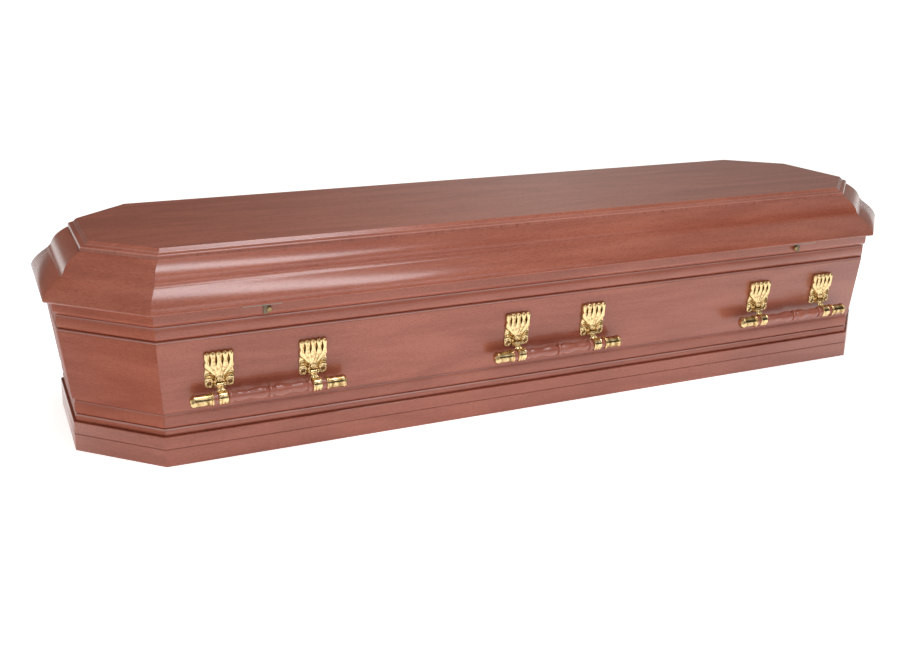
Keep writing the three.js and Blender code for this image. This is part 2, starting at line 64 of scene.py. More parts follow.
SIDES = ("front", "front_right", "right_end", "back_right", "back", "back_left", "left_end", "front_left")
IMAGE_SIZE = (900, 650)


# Properties


def length(name, default, description):
    return bpy.props.FloatProperty(
        name=name, default=default, description=description, subtype="DISTANCE", unit="LENGTH"
    )


def colour(name, default, description):
    return bpy.props.FloatVectorProperty(
        name=name, default=default, description=description, subtype="COLOR", size=3, min=0, max=1
    )


def vector(name, default, description, subtype="XYZ"):
    return bpy.props.FloatVectorProperty(
        name=name, default=default, description=description, subtype=subtype, size=3
    )


def angle(name, degrees, description):
    turn = math.radians(degrees)
    return bpy.props.FloatProperty(
        name=name, default=turn, description=description, subtype="ANGLE", unit="ROTATION"
    )


def amount(name, default, description):
    return bpy.props.FloatProperty(name=name, default=default, min=0, description=description)


class CoffinBody(bpy.types.PropertyGroup):
    """Sizes of the walls and the plinth."""

    base_length: length("Base length", 1.9146, "Length of the walls' outline at floor level")
    base_width: length("Base width", 0.5302, "Width of the walls' outline at floor level")
    corner_cut: length("Corner cut", 0.140, "How far each corner is cut back along both sides")
    wall_height: length("Wall height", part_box("front_wall")[1].z, "Height of the walls' top edge")
    wall_thickness: length("Wall thickness", 0.018, "Thickness of a wall board")
    cant: angle("Cant", 6.17, "How far the walls lean out from upright")
    mitre_gap: length("Mitre gap", 0.0003, "Width of the glue line between two boards")
    arris: length("Arris", 0.0008, "Width of the broken edge along a mitre")
    frieze_height: length("Frieze height", 0.027, "Height of the plain band below the lid")
    frieze_setback: length("Frieze setback", 0.0018, "How far the frieze lies behind the panel face")
    top_groove: length("Top groove depth", 0.007, "Depth of the grooves above and below the top bead")
    top_bead: length("Top bead height", 0.027, "Height of the bead below the frieze")
    top_bead_setback: length("Top bead setback", 0.0016, "How far the top bead lies behind the panel")
    panel_roundover: length("Panel roundover", 0.007, "Height of the rounded top edge of the panel")
    torus_height: length("Torus height", 0.031, "Height of the half-round moulding below the panel")
    torus_setback: length("Torus setback", 0.0006, "How far the torus lies behind the panel face")
    foot_groove: length("Foot groove depth", 0.0046, "Depth of the groove below the torus")
    foot_bead: length("Foot bead height", 0.015, "Height of the bead on the plinth")
    foot_bead_setback: length("Foot bead setback", 0.0004, "How far the foot bead's root lies back")
    quirk: length("Quirk", 0.005, "Size of the quirk below the panel")
    plinth_height: length("Plinth height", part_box("plinth")[1].z, "Height of the plinth")
    plinth_thickness: length("Plinth thickness", 0.0147, "Reach of the plinth past the walls at the floor")
    plinth_setback: length("Plinth setback", 0.0015, "How much the plinth draws in to its top")
    plinth_line: length("Plinth line height", 0.035, "Height of the line cut into the plinth")
    plinth_line_size: length("Plinth line size", 0.0016, "Size of the line cut into the plinth")
    fit_gap: length("Fit gap", 0.0003, "Gap between two fitted pieces")


class CoffinLid(bpy.types.PropertyGroup):
    """Sizes of the lid."""

    frame_top: length("Frame top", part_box("lid_frame")[1].z, "Height of the top of the lid frame")
    board_top: length("Board top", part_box("lid_top_board")[1].z, "Height of the lid's flat top")
    overhang: length("Overhang", 0.0114, "Reach of the rim past the frieze")
    spread: length("Spread", 0.073, "Width of the wave moulding, seen from above")
    nose: length("Nose", 0.0039, "Reach of the rim's rounded nose past its lower edge")
    thickness: length("Frame thickness", 0.021, "Thickness of the lid frame")
    seat: length("Seat width", 0.033, "Width of the lid frame's underside")
    board_edge: length("Board edge", 0.0176, "Width of the moulded edge of the top board")
    board_bevel: length("Board bevel", 0.0055, "Size of the bevel at the top of the board's edge")
    board_fillet: length("Board fillet", 0.004, "Size of the fillet at the foot of the board's edge")


class CoffinHandle(bpy.types.PropertyGroup):
    """Sizes of a handle, in the frame of its plate: x across, y up, z out from the wall."""

    plate_width: length("Plate width", 0.057, "Width of a plate")
    plate_height: length("Plate height", 0.074, "Height of a plate")
    plate_edge: length("Plate edge", 0.0036, "Thickness of a plate near its edge")
    leaf_count: bpy.props.IntProperty(
        name="Leaves", default=5, min=1, max=9, description="Leaves in a plate's fan"
    )
    leaf_rise: length("Leaf rise", 0.0052, "How far the leaves stand off the plate")
    scallop: length("Scallop", 0.0026, "Depth of the scallops along a plate's edges")
    boss_radius: length("Boss radius", 0.0085, "Radius of the rounded corner round a screw")
    rosette_radius: length("Rosette radius", 0.0064, "Radius of the rosette above the arm")
    pivot_up: length("Pivot height", 0.005, "Height of the pin above the plate's lower edge")
    pivot_out: length("Pivot reach", 0.0073, "Distance of the pin from the wall")
    hub_radius: length("Hub radius", 0.0046, "Radius of the arm's hub")
    hub_edge: length("Hub edge", 0.0008, "Width of the broken edge of the hub")
    hub_width: length("Hub width", 0.0135, "Width of the arm's hub")
    swing_gap: length("Swing gap", 0.0006, "Gap round the arm's hub")
    arm_spacing: length("Arm spacing", 0.182, "Distance between the two arms of a handle")
    bar_drop: length("Bar drop", 0.013, "How far the bar lies below the plate's lower edge")
    bar_out: length("Bar reach", 0.0263, "Distance of the bar's middle from the wall")
    ring_width: length("Ring width", 0.0185, "Width of the ring round the bar")
    ring_wall: length("Ring wall", 0.0024, "Thickness of the ring")
    neck_width: length("Neck width", 0.012, "Width of the arm below its hub")
    neck_thickness: length("Neck thickness", 0.005, "Thickness of the arm")
    seat_radius: length("Seat radius", 0.0106, "Radius of the bar inside its rings")
    bar_gap: length("Bar gap", 0.0003, "Gap between the bar and the rings and tips that hold it")
    swell_radius: length("Swell radius", 0.0123, "Radius of the bar's swellings")
    waist_radius: length("Waist radius", 0.0088, "Radius of the bar's waists")
    knop_radius: length("Knop radius", 0.0107, "Radius of the small swelling near a ring")
    bead_width: length("Bead width", 0.009, "Width of the bead beside a ring")
    reel_width: length("Reel width", 0.011, "Width of the reel in the middle of the bar")
    reel_groove: length("Reel groove radius", 0.0088, "Radius of the grooves beside the reel")
    bar_show: length("Bar end", 0.009, "Length of wood between a ring and a tip")
    tip_length: length("Tip length", 0.044, "Length of a tip")
    tip_radius: length("Tip radius", 0.0118, "Radius of a tip's plain length")
    tip_collar: length("Tip collar radius", 0.0139, "Radius of a tip's collar")
    tip_collar_width: length("Tip collar width", 0.006, "Width of a tip's collar")
    tip_rim: length("Tip rim radius", 0.013, "Radius of the rim round a tip's cap")
    tip_cap: length("Tip cap length", 0.007, "Length of a tip's cap")
    tip_socket: length("Tip socket depth", 0.012, "How deep the bar goes into a tip")


class CoffinCatch(bpy.types.PropertyGroup):
    """Sizes of a lid catch."""

    strip_thickness: length("Strip thickness", 0.0016, "Thickness of the strip under the rim")
    strip_outer: length("Strip's outer reach", 0.045, "Reach of the strip to the near end of the coffin")
    strip_inner: length("Strip's inner reach", 0.030, "Reach of the strip to the middle of the coffin")
    tab_width: length("Tab width", 0.009, "Width of the tab")
    tab_thickness: length("Tab thickness", 0.003, "Thickness of the tab")
    knob_radius: length("Knob radius", 0.0046, "Radius of the knob")
    knob_length: length("Knob length", 0.005, "Length of the knob")
    knob_drop: amount("Knob drop", 0.6, "Share of the catch's height that is above the knob")


class CoffinColours(bpy.types.PropertyGroup):
    """Colours of the finishes."""

    wood_light: colour("Light wood", (0.375, 0.108, 0.062), "Lighter growth in the stained boards")
    wood_dark: colour("Dark wood", (0.275, 0.068, 0.037), "Darker growth in the stained boards")
    wood_pore: colour("Pores", (0.170, 0.036, 0.020), "Stain held in the pores")
    # Pale mauve of the highlight painted along the boards' upward-facing edges
    wood_highlight: colour("Highlit edges", (0.640, 0.440, 0.410), "Wood where the stain is rubbed thin")
    bar_light: colour("Light bar", (0.370, 0.110, 0.068), "Lighter growth in the turned bars")
    bar_dark: colour("Dark bar", (0.285, 0.078, 0.047), "Darker growth in the turned bars")
    gold: colour("Gold", (0.830, 0.625, 0.325), "Polished gold plate")
    # Colour of the painted shade in the hollows of the gold pieces
    gold_shaded: colour("Deep gold", (0.200, 0.100, 0.020), "Gold plate in the hollows")
    bronze: colour("Bronze", (0.230, 0.180, 0.120), "Dull metal of the catches")
    brass: colour("Brass", (0.420, 0.290, 0.130), "Aged brass of the catches' knobs")
    steel: colour("Steel", (0.420, 0.360, 0.310), "Bright metal of the strips")
    screw: colour("Screws", (0.420, 0.210, 0.100), "Brownish heads of the plate screws")
    floor: colour("Floor", (0.900, 0.900, 0.900), "Pale floor")


class CoffinStudio(bpy.types.PropertyGroup):
    """Camera and lights."""

    camera_place: vector(
        "Camera place", (-1.1089, -2.2268, 0.8988), "Where the camera stands", "TRANSLATION"
    )
    camera_yaw: angle("Camera yaw", 24.03, "Turn from looking along +Y towards +X")
    camera_pitch: angle("Camera pitch", 17.9, "How far the camera looks down")
    camera_roll: angle("Camera roll", 0.44, "Lean of the camera")
    focal_pixels: amount("Focal length", 1101.1, "Focal length in pixels of the image")
    world_light: amount("Surroundings", 0.51, "Brightness of the white surroundings")
    world_tint: colour("Surroundings' tint", (1.0, 0.955, 0.890), "Warm white of the surroundings")
    light_tint: colour("Lights' tint", (0.930, 0.945, 1.000), "Cool white of the lights")
    shade_light: amount("Shaded surroundings", 0.08, "Brightness low behind the coffin")
    shade_toward: vector("Shade direction", (-0.25, 0.92, 0.30), "Where the back is darkest")
    side_light: amount("Shaded side", 0.22, "Brightness low behind the right end")
    side_toward: vector("Side direction", (0.85, 0.52, 0.15), "Where the right side is darkest")
    room_light: amount("Dark room", 0.06, "Brightness low in front of the coffin")
    room_toward: vector("Room direction", (0.45, -0.86, 0.22), "Where the room in front is darkest")
    strip_power: amount("Strip light", 30.0, "Power of the long light overhead")
    front_power: amount("Front light", 2.5, "Power of the soft light in front")
    edge_power: amount("Edge light", 6.0, "Power of the narrow light that picks out edges")
    floor_power: amount("Floor light", 7.0, "Power of the light on the floor in front")
    floor_glow: amount("Floor glow", 0.72, "Light that the white floor gives by itself")


GROUPS = {
    "coffin_body": CoffinBody,
    "coffin_lid": CoffinLid,
    "coffin_handle": CoffinHandle,
    "coffin_catch": CoffinCatch,
    "coffin_colours": CoffinColours,
    "coffin_studio": CoffinStudio,
}


# Shader sockets and finishes


# Outputs of nodes, where the one in use isn't the first
OBJECT_PLACE = 3
POINT_VECTOR, POINT_VALUE = 1, 2
MIXED_COLOUR = 2
DOT_VALUE = 1


class Socket:
    """A shader socket that takes part in Python arithmetic."""

    def __init__(self, nodes, output):
        self.nodes = nodes
        self.output = output

    def _math(self, operation, first, second):
        return self.nodes.node("ShaderNodeMath", {"operation": operation}, {0: first, 1: second})

    def __add__(self, other):
        return self._math("ADD", self, other)

    __radd__ = __add__

    def __sub__(self, other):
        return self._math("SUBTRACT", self, other)

    def __rsub__(self, other):
        return self._math("SUBTRACT", other, self)

    def __mul__(self, other):
        return self._math("MULTIPLY", self, other)

    __rmul__ = __mul__

    def least(self, other):
        """The smaller of two values."""
        return self._math("MINIMUM", self, other)

    def most(self, other):
        """The larger of two values."""
        return self._math("MAXIMUM", self, other)

    def clamp(self):
        """The value held between 0 and 1."""
        return self.nodes.node("ShaderNodeClamp", {}, {"Value": self})


class Nodes:
    """The nodes of a material or of the world."""

    def __init__(self, tree):
        self.tree = tree

    def node(self, kind, settings=None, inputs=None, output=0):
        """A node of that type, with its settings made first and then its sockets filled or linked."""
        made = self.tree.nodes.new(kind)
        for key, value in (settings or {}).items():
            setattr(made, key, value)
        for key, value in (inputs or {}).items():
            if isinstance(value, Socket):
                self.tree.links.new(value.output, made.inputs[key])
            else:
                made.inputs[key].default_value = value
        return Socket(self, made.outputs[output]) if made.outputs else made

    def place(self):
        """Where a point lies in its object."""
        return self.node("ShaderNodeTexCoord", output=OBJECT_PLACE)

    def kept(self, name, output=POINT_VALUE):
        """What the mesh keeps at its points under that name."""
        return self.node("ShaderNodeAttribute", {"attribute_name": name}, output=output)

    def mix(self, share, first, second):
        """A colour between two colours."""
        inputs = {0: share, 6: rgba(first), 7: rgba(second)}
        return self.node(
            "ShaderNodeMix", {"data_type": "RGBA", "clamp_factor": True}, inputs, MIXED_COLOUR
        )

    def scaled(self, vector, scale):
        """A vector stretched along its own axes."""
        return self.node("ShaderNodeVectorMath", {"operation": "MULTIPLY"}, {0: vector, 1: scale})

    def noise(self, vector, scale=1.0, detail=2.0, roughness=0.5, distortion=0.0):
        """A noise value at a place."""
        inputs = {"Vector": vector, "Scale": scale, "Detail": detail}
        inputs.update({"Roughness": roughness, "Distortion": distortion})
        return self.node("ShaderNodeTexNoise", {"noise_dimensions": "3D"}, inputs)

    def ramp(self, value, low, high, start=0.0, end=1.0):
        """A smooth change from start to end, as the value goes from low to high."""
        inputs = {"Value": value, "From Min": low, "From Max": high, "To Min": start, "To Max": end}
        return self.node("ShaderNodeMapRange", {"interpolation_type": "SMOOTHSTEP"}, inputs)

    def bump(self, height, strength, distance):
        """A normal bent by a height."""
        inputs = {"Height": height, "Strength": strength, "Distance": distance}
        return self.node("ShaderNodeBump", {}, inputs)


class Finish(Nodes):
    """A material under construction."""

    def __init__(self, name):
        self.material = bpy.data.materials.new(name)
        self.material.use_nodes = True
        super().__init__(self.material.node_tree)
        self.tree.nodes.clear()

    def surface(self, **sockets):
        """Closes the material with a Principled shader."""
        inputs = {key.replace("_", " "): value for key, value in sockets.items()}
        shader = self.node("ShaderNodeBsdfPrincipled", {}, inputs)
        self.node("ShaderNodeOutputMaterial", {}, {"Surface": shader})
        return self.material


def rgba(value):
    """A colour property as four numbers, or a socket as it is."""
    return value if isinstance(value, Socket) else (*tuple(value)[:3], 1.0)


def wood_finish(name, colours, coat):
    """Stained and lacquered wood whose grain follows the first axis of the grain attribute, with a pale
    highlight painted along its edges that face up.
    """
    finish = Finish(name)
    grain = finish.kept("grain", POINT_VECTOR)
    figure = finish.noise(finish.scaled(grain, (2.4, 15.0, 5.0)), detail=3.0, distortion=1.2)
    ribbon = finish.noise(finish.scaled(grain, (11.0, 85.0, 5.0)), detail=3.0, roughness=0.6)
    fibre = finish.noise(finish.scaled(grain, (90.0, 380.0, 9.0)), detail=4.0, roughness=0.7)
    vessel = finish.noise(finish.scaled(grain, (170.0, 560.0, 9.0)), detail=2.0, roughness=0.6)
    growth = finish.ramp(figure * 0.46 + ribbon * 0.2 + fibre * 0.34, 0.36, 0.63)
    pores = finish.ramp(vessel, 0.52, 0.70)
    tone = finish.mix(growth, colours.wood_dark, colours.wood_light)
    stained = finish.mix(pores * 0.5, tone, colours.wood_pore)
    return finish.surface(
        # Painted highlight: the base colour turns pale mauve along edges that face up
        Base_Color=finish.mix(finish.kept("rub") * 0.6, stained, colours.wood_highlight),
        Roughness=0.42 + ribbon * 0.05 + pores * 0.08,
        Specular_IOR_Level=0.1,
        Coat_Weight=coat,
        Coat_Roughness=0.22,
        Normal=finish.bump(fibre * 0.5 - pores, 0.1, 0.0004),
    )


def bar_finish(name, colours):
    """Glossy stained wood of a turned bar, with its grain along X."""
    finish = Finish(name)
    place = finish.place()
    ribbon = finish.noise(finish.scaled(place, (9.0, 130.0, 130.0)), detail=3.0, distortion=0.4)
    fibre = finish.noise(finish.scaled(place, (60.0, 900.0, 900.0)), detail=2.0)
    growth = finish.ramp(ribbon * 0.7 + fibre * 0.3, 0.38, 0.64)
    pores = finish.ramp(fibre, 0.62, 0.75)
    tone = finish.mix(growth, colours.bar_dark, colours.bar_light)
    return finish.surface(
        Base_Color=finish.mix(pores * 0.5, tone, colours.wood_pore),
        Roughness=0.3 + pores * 0.1,
        Coat_Weight=0.5,
        Coat_Roughness=0.12,
        Normal=finish.bump(fibre, 0.05, 0.0003),
    )


def gold_finish(name, colours, hammer):
    """Polished gold plate, darker with painted shade and rougher in its hollows."""
    finish = Finish(name)
    place = finish.place()
    blotch = finish.noise(place, scale=160.0, detail=3.0)
    ripple = finish.noise(place, scale=300.0, detail=2.0)
    # Painted shade from the mesh's recesses, with random darker blotches
    shade_and_blotch = (finish.kept("hollow") + finish.ramp(blotch, 0.46, 0.62) * 0.42).clamp()
    return finish.surface(
        Base_Color=finish.mix(shade_and_blotch, colours.gold, colours.gold_shaded),
        Metallic=1.0,
        Roughness=0.10 + shade_and_blotch * 0.2,
        Normal=finish.bump(ripple, hammer, 0.0006),
    )


def metal_finish(name, shade, roughness, scale):
    """Dull or bright metal with a fine mottle."""
    finish = Finish(name)
    mottle = finish.noise(finish.place(), scale=scale, detail=4.0)
    dark = tuple(0.55 * channel for channel in shade)
    return finish.surface(
        Base_Color=finish.mix(mottle, dark, shade),
        Metallic=0.9,
        Roughness=roughness + mottle * 0.15,
        Normal=finish.bump(mottle, 0.1, 0.0003),
    )


def floor_finish(name, shade, glow):
    """A plain pale floor with the faintest unevenness."""
    finish = Finish(name)
    cloud = finish.noise(finish.place(), scale=0.8, detail=2.0)
    duller = tuple(0.985 * channel for channel in shade)
    return finish.surface(
        Base_Color=finish.mix(cloud, shade, duller),
        Roughness=0.9,
        Emission_Color=(1.0, 1.0, 1.0, 1.0),
        Emission_Strength=glow,
    )


def finish_named(name):
    """The material of that name, made the first time that it is asked for."""
    if name in bpy.data.materials:
        return bpy.data.materials[name]
    colours = bpy.context.scene.coffin_colours
    studio = bpy.context.scene.coffin_studio
    makers = {
        "boards": lambda: wood_finish(name, colours, coat=1.0),
        "short_boards": lambda: wood_finish(name, colours, coat=0.12),
        "bars": lambda: bar_finish(name, colours),
        "cast_gold": lambda: gold_finish(name, colours, hammer=0.60),
        "hammered_gold": lambda: gold_finish(name, colours, hammer=0.45),
        "catch_bronze": lambda: metal_finish(name, colours.bronze, roughness=0.38, scale=400.0),
        "knob_brass": lambda: metal_finish(name, colours.brass, roughness=0.3, scale=400.0),
        "strip_steel": lambda: metal_finish(name, colours.steel, roughness=0.25, scale=250.0),
        "screw_heads": lambda: metal_finish(name, colours.screw, roughness=0.35, scale=900.0),
        "pale_floor": lambda: floor_finish(name, colours.floor, studio.floor_glow),
    }
    if name not in makers:
        raise ValueError(f"there is no finish named {name}")
    return makers[name]()


# Meshes


def make_mesh(name, points, faces, smooth_angle=math.radians(32), grain=None, hollow=None, rub=None):
    """A mesh with smooth faces, sharp where two faces meet at more than the angle."""
    mesh = bpy.data.meshes.new(name)
    mesh.from_pydata([tuple(p) for p in points], [], [tuple(f) for f in faces])
    if grain is not None:
        layer = mesh.attributes.new("grain", "FLOAT_VECTOR", "POINT")
        layer.data.foreach_set("vector", np.asarray(grain, np.float32).ravel())
    # Shares of painted shade and of painted edge highlight, kept at the points for the finishes
    for label, values in (("hollow", hollow), ("rub", rub)):
        if values is not None:
            layer = mesh.attributes.new(label, "FLOAT", "POINT")
            layer.data.foreach_set("value", np.asarray(values, np.float32).ravel())
    return smoothed(mesh, smooth_angle)


def smoothed(mesh, sharp):
    """The mesh with smooth faces, sharp where two of them meet at more than an angle."""
    mesh.polygons.foreach_set("use_smooth", np.ones(len(mesh.polygons), bool))
    mesh.set_sharp_from_angle(angle=sharp)
    mesh.update()
    return mesh


def add_piece(name, mesh, finish, body, nodes=(), place=None):
    """A piece in its place on a body, standing for CAD nodes."""
    piece = bpy.data.objects.new(name, mesh)
    bpy.context.scene.collection.objects.link(piece)
    if place is not None:
        piece.matrix_world = place
    if not mesh.materials:
        mesh.materials.append(finish_named(finish))
    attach(piece, body)
    if nodes:
        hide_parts(*nodes)
    return piece


def union(name, meshes, smooth_angle):
    """One closed mesh made of several that overlap."""
    parts = [bpy.data.objects.new(name, mesh) for mesh in meshes]
    for part in parts:
        bpy.context.scene.collection.objects.link(part)
    for other in parts[1:]:
        joiner = parts[0].modifiers.new("join", "BOOLEAN")
        joiner.operation = "UNION"
        joiner.solver = "EXACT"
        joiner.object = other
    bpy.context.view_layer.update()
    graph = bpy.context.evaluated_depsgraph_get()
    joined = bpy.data.meshes.new_from_object(parts[0].evaluated_get(graph))
    joined.name = name
    for part in parts:
        bpy.data.objects.remove(part)
    if not joined.polygons:
        raise RuntimeError(f"joining {name} left nothing")
    return smoothed(joined, smooth_angle)


def tube_faces(rings, count, flip=False, closed=False):
    """Faces between rings of count points; a closed tube joins its last ring to its first."""
    faces = []
    for ring in range(rings if closed else rings - 1):
        low, high = ring * count, (ring + 1) % rings * count
        for turn in range(count):
            after = (turn + 1) % count
            face = (low + turn, low + after, high + after, high + turn)
            faces.append(face[:1] + face[:0:-1] if flip else face)
    return faces


def end_faces(rings, count, flip=False):
    """Faces over the first and the last ring of a tube."""
    first, last = tuple(range(count)), tuple(range((rings - 1) * count, rings * count))
    return [first, last[::-1]] if flip else [first[::-1], last]


def around(sides):
    """Turns evenly spread round a circle."""
    return np.arange(sides) * 2 * math.pi / sides


def turned_mesh(name, profile, sides, shape=None, smooth_angle=math.radians(32), hollow=None):
    """A list of (x, radius) points turned round the X axis, closed where its ends reach the axis."""
    turns = around(sides)
    # Shares of painted shade, one for each profile point
    hollow = np.zeros(len(profile)) if hollow is None else hollow
    points, tints = [], []
    for (along, radius), tint in zip(profile[1:-1], hollow[1:-1]):
        reach = radius * (np.ones(sides) if shape is None else shape(along, turns))
        points.append(
            np.column_stack([np.full(sides, along), reach * np.cos(turns), reach * np.sin(turns)])
        )
        tints.append(np.full(sides, tint))
    faces = tube_faces(len(points), sides, flip=True)
    first = len(points) * sides
    top = first - sides
    for turn in range(sides):
        after = (turn + 1) % sides
        faces.append((first, turn, after))
        faces.append((first + 1, top + after, top + turn))
    points = np.vstack([*points, [profile[0][0], 0, 0], [profile[-1][0], 0, 0]])
    tints = np.concatenate([*tints, [tints[0][0], tints[-1][0]]])
    return make_mesh(name, points, faces, smooth_angle, hollow=tints)


# The eight-sided outline and its profiles

BOARD_SHARP = math.radians(28)
# Where a highlight is painted on the boards: rise in degrees of the edges that get it, its spread, and the
# longest step of a tight bend
HIGHLIGHT_FACING, HIGHLIGHT_SPREAD = 36, 15
HIGHLIGHT_STEP = 0.004


def side_distance(body, side, offset):
    """How far a side of the outline lies from the middle, moved out by an offset."""
    half_length = body.base_length / 2
    half_width = body.base_width / 2
    if side % 2:
        return (half_length + half_width - body.corner_cut) / math.sqrt(2) + offset
    return (half_width if side % 4 == 0 else half_length) + offset


def side_direction(side):
    """The outward direction of a side, seen from above."""
    turn = (side - 2) * math.pi / 4
    return np.array([math.cos(turn), math.sin(turn)])


def corner(body, side, offset):
    """The corner where a side meets the one before it."""
    before = (side - 1) % len(SIDES)
    rows = np.array([side_direction(before), side_direction(side)])
    reach = [side_distance(body, before, offset), side_distance(body, side, offset)]
    return np.linalg.solve(rows, reach)


def bend(start, end, leave, arrive, steps=20):
    """Points of a smooth bend that leaves and arrives at the given headings, in degrees."""
    start, end = np.array(start, float), np.array(end, float)
    leave, arrive = math.radians(leave), math.radians(arrive)
    away = end - start
    reach = (away[0] * math.sin(arrive) - away[1] * math.cos(arrive)) / math.sin(arrive - leave)
    control = start + reach * np.array([math.cos(leave), math.sin(leave)])
    shares = np.arange(1, steps + 1) / steps
    return [
        tuple((1 - t) ** 2 * start + 2 * t * (1 - t) * control + t * t * end) for t in shares
    ]


def bead(low, high, crest, steps=20):
    """Points of a bead that bulges from a lower groove to an upper one."""
    points = []
    for step in range(1, steps):
        share = (1 - math.cos(math.pi * step / steps)) / 2
        chord = low[0] + (high[0] - low[0]) * share
        bulge = math.sqrt(1 - (2 * share - 1) ** 2)
        points.append((chord + (crest - chord) * bulge, low[1] + (high[1] - low[1]) * share))
    return points


def panel_offset(body, height):
    """Offset of the canted panel face at a height."""
    return height * math.tan(body.cant)


def inner_offset(body, height):
    """Offset of the walls' inner face at a height."""
    return panel_offset(body, height) - body.wall_thickness / math.cos(body.cant)


def frieze_offset(body):
    return panel_offset(body, body.wall_height) - body.frieze_setback


def wall_profile(body):
    """The section of a wall board, anticlockwise with the offset to the right."""
    frieze_foot = body.wall_height - body.frieze_height
    top_bead_foot = frieze_foot - body.top_bead
    panel_top = top_bead_foot - body.panel_roundover
    foot_bead_top = body.plinth_height + body.foot_bead
    panel_foot = foot_bead_top + body.torus_height + body.foot_groove / 3
    plane = lambda height: panel_offset(body, height)
    foot_root = (plane(body.plinth_height) - body.foot_bead_setback, body.plinth_height)
    foot_groove = (plane(foot_bead_top) - body.foot_groove, foot_bead_top)
    quirk = (plane(panel_foot) - body.quirk, panel_foot - body.quirk)
    top_groove = (plane(top_bead_foot) - body.top_groove, top_bead_foot)
    frieze_groove = (plane(frieze_foot) - body.top_groove, frieze_foot)
    foot_crest = plane(body.plinth_height) + 5 * body.foot_bead_setback
    torus_crest = plane((foot_bead_top + panel_foot) / 2) - body.torus_setback
    bead_crest = plane((top_bead_foot + frieze_foot) / 2) - body.top_bead_setback
    frieze = frieze_offset(body)
    lean = 90 - math.degrees(body.cant)
    soft = body.arris
    return [
        (inner_offset(body, 0), 0),
        (plane(0), 0),
        foot_root,
        *bead(foot_root, foot_groove, foot_crest),
        foot_groove,
        *bead(foot_groove, quirk, torus_crest),
        quirk,
        (quirk[0], panel_foot - soft),
        (quirk[0] + soft, panel_foot),
        (plane(panel_foot) - soft, panel_foot),
        (plane(panel_foot), panel_foot + soft),
        (plane(panel_top), panel_top),
        *bend((plane(panel_top), panel_top), top_groove, lean, 165),
        *bead(top_groove, frieze_groove, bead_crest),
        frieze_groove,
        *bend(frieze_groove, (frieze, frieze_foot + body.frieze_height / 3), 35, 88),
        (frieze, body.wall_height),
        (inner_offset(body, body.wall_height), body.wall_height),
    ]


def plinth_profile(body):
    """The section of a plinth board."""
    line, size = body.plinth_line, body.plinth_line_size
    inner = lambda height: panel_offset(body, height) + body.fit_gap
    face = lambda height: body.plinth_thickness - body.plinth_setback * height / body.plinth_height
    soft = body.arris
    return [
        (inner(0), 0),
        (face(0), 0),
        (face(line - size), line - size),
        (face(line) - size, line - size / 4),
        (face(line) - size, line),
        (face(line) - soft / 2, line),
        (face(line), line + soft / 2),
        (face(body.plinth_height), body.plinth_height - soft),
        (face(body.plinth_height) - soft, body.plinth_height),
        (inner(body.plinth_height), body.plinth_height),
    ]


def lid_board_offset(body, lid):
    """Offset of the line where the wave moulding meets the top board."""
    return frieze_offset(body) + lid.overhang - lid.spread


def lid_frame_profile(body, lid):
    """The section of a lid board: a double wave outside and a plain slope inside."""
    top_offset = lid_board_offset(body, lid)
    rise = lid.frame_top - body.wall_height
    at = lambda out, up: (top_offset + out * lid.spread, body.wall_height + up * rise)
    rim = (top_offset + lid.spread, body.wall_height)
    nose = (rim[0] + lid.nose, body.wall_height + 0.06 * rise)
    valley_low, valley_high = at(0.62, 0.46), at(0.465, 0.615)
    top = at(0, 1)
    seat = (rim[0] - lid.seat, body.wall_height)
    inside = (top_offset - lid.thickness, lid.frame_top - lid.thickness / 2)
    return [
        seat,
        rim,
        *bend(rim, nose, 5, 110),
        *bend(nose, valley_low, 110, 144, 30),
        *bend(valley_low, valley_high, 144, 110),
        *bend(valley_high, top, 110, 152, 30),
        (inside[0], lid.frame_top),
        inside,
        *bend(inside, seat, -15, -68)[:-1],
    ]


def lid_edge(body, lid):
    """The edge of the top board, from its underside to its flat top."""
    foot = lid_board_offset(body, lid)
    edge = foot - lid.board_edge
    near = foot - body.fit_gap
    shoulder = (edge + lid.board_bevel, lid.board_top - lid.board_bevel)
    middle = (lid.frame_top + lid.board_top) / 2
    fillet = (foot - lid.board_fillet, middle)
    step = (near, lid.frame_top + lid.board_fillet / 2)
    soft = body.arris / 2
    return [
        (near, lid.frame_top),
        step,
        *bend(step, fillet, 90, 160),
        *bend(fillet, shoulder, 185, 130),
        (edge + soft, lid.board_top - soft),
        (edge, lid.board_top),
    ]


def profile_length(profile):
    """Distance along a profile at each of its points."""
    steps = np.hypot(*np.diff(np.asarray(profile), axis=0).T)
    return np.concatenate([[0.0], np.cumsum(steps)])


def painted(profile):
    """How strongly a highlight is painted along a profile: most where a tight bend faces out and up."""
    after, before = np.roll(profile, -1, axis=0), np.roll(profile, 1, axis=0)
    ahead = after - before
    rise = np.degrees(np.arctan2(-ahead[:, 0], ahead[:, 1]))
    reach = np.maximum(*(np.linalg.norm(near - profile, axis=1) for near in (after, before)))
    return hump(rise - HIGHLIGHT_FACING, HIGHLIGHT_SPREAD) * (reach < HIGHLIGHT_STEP)


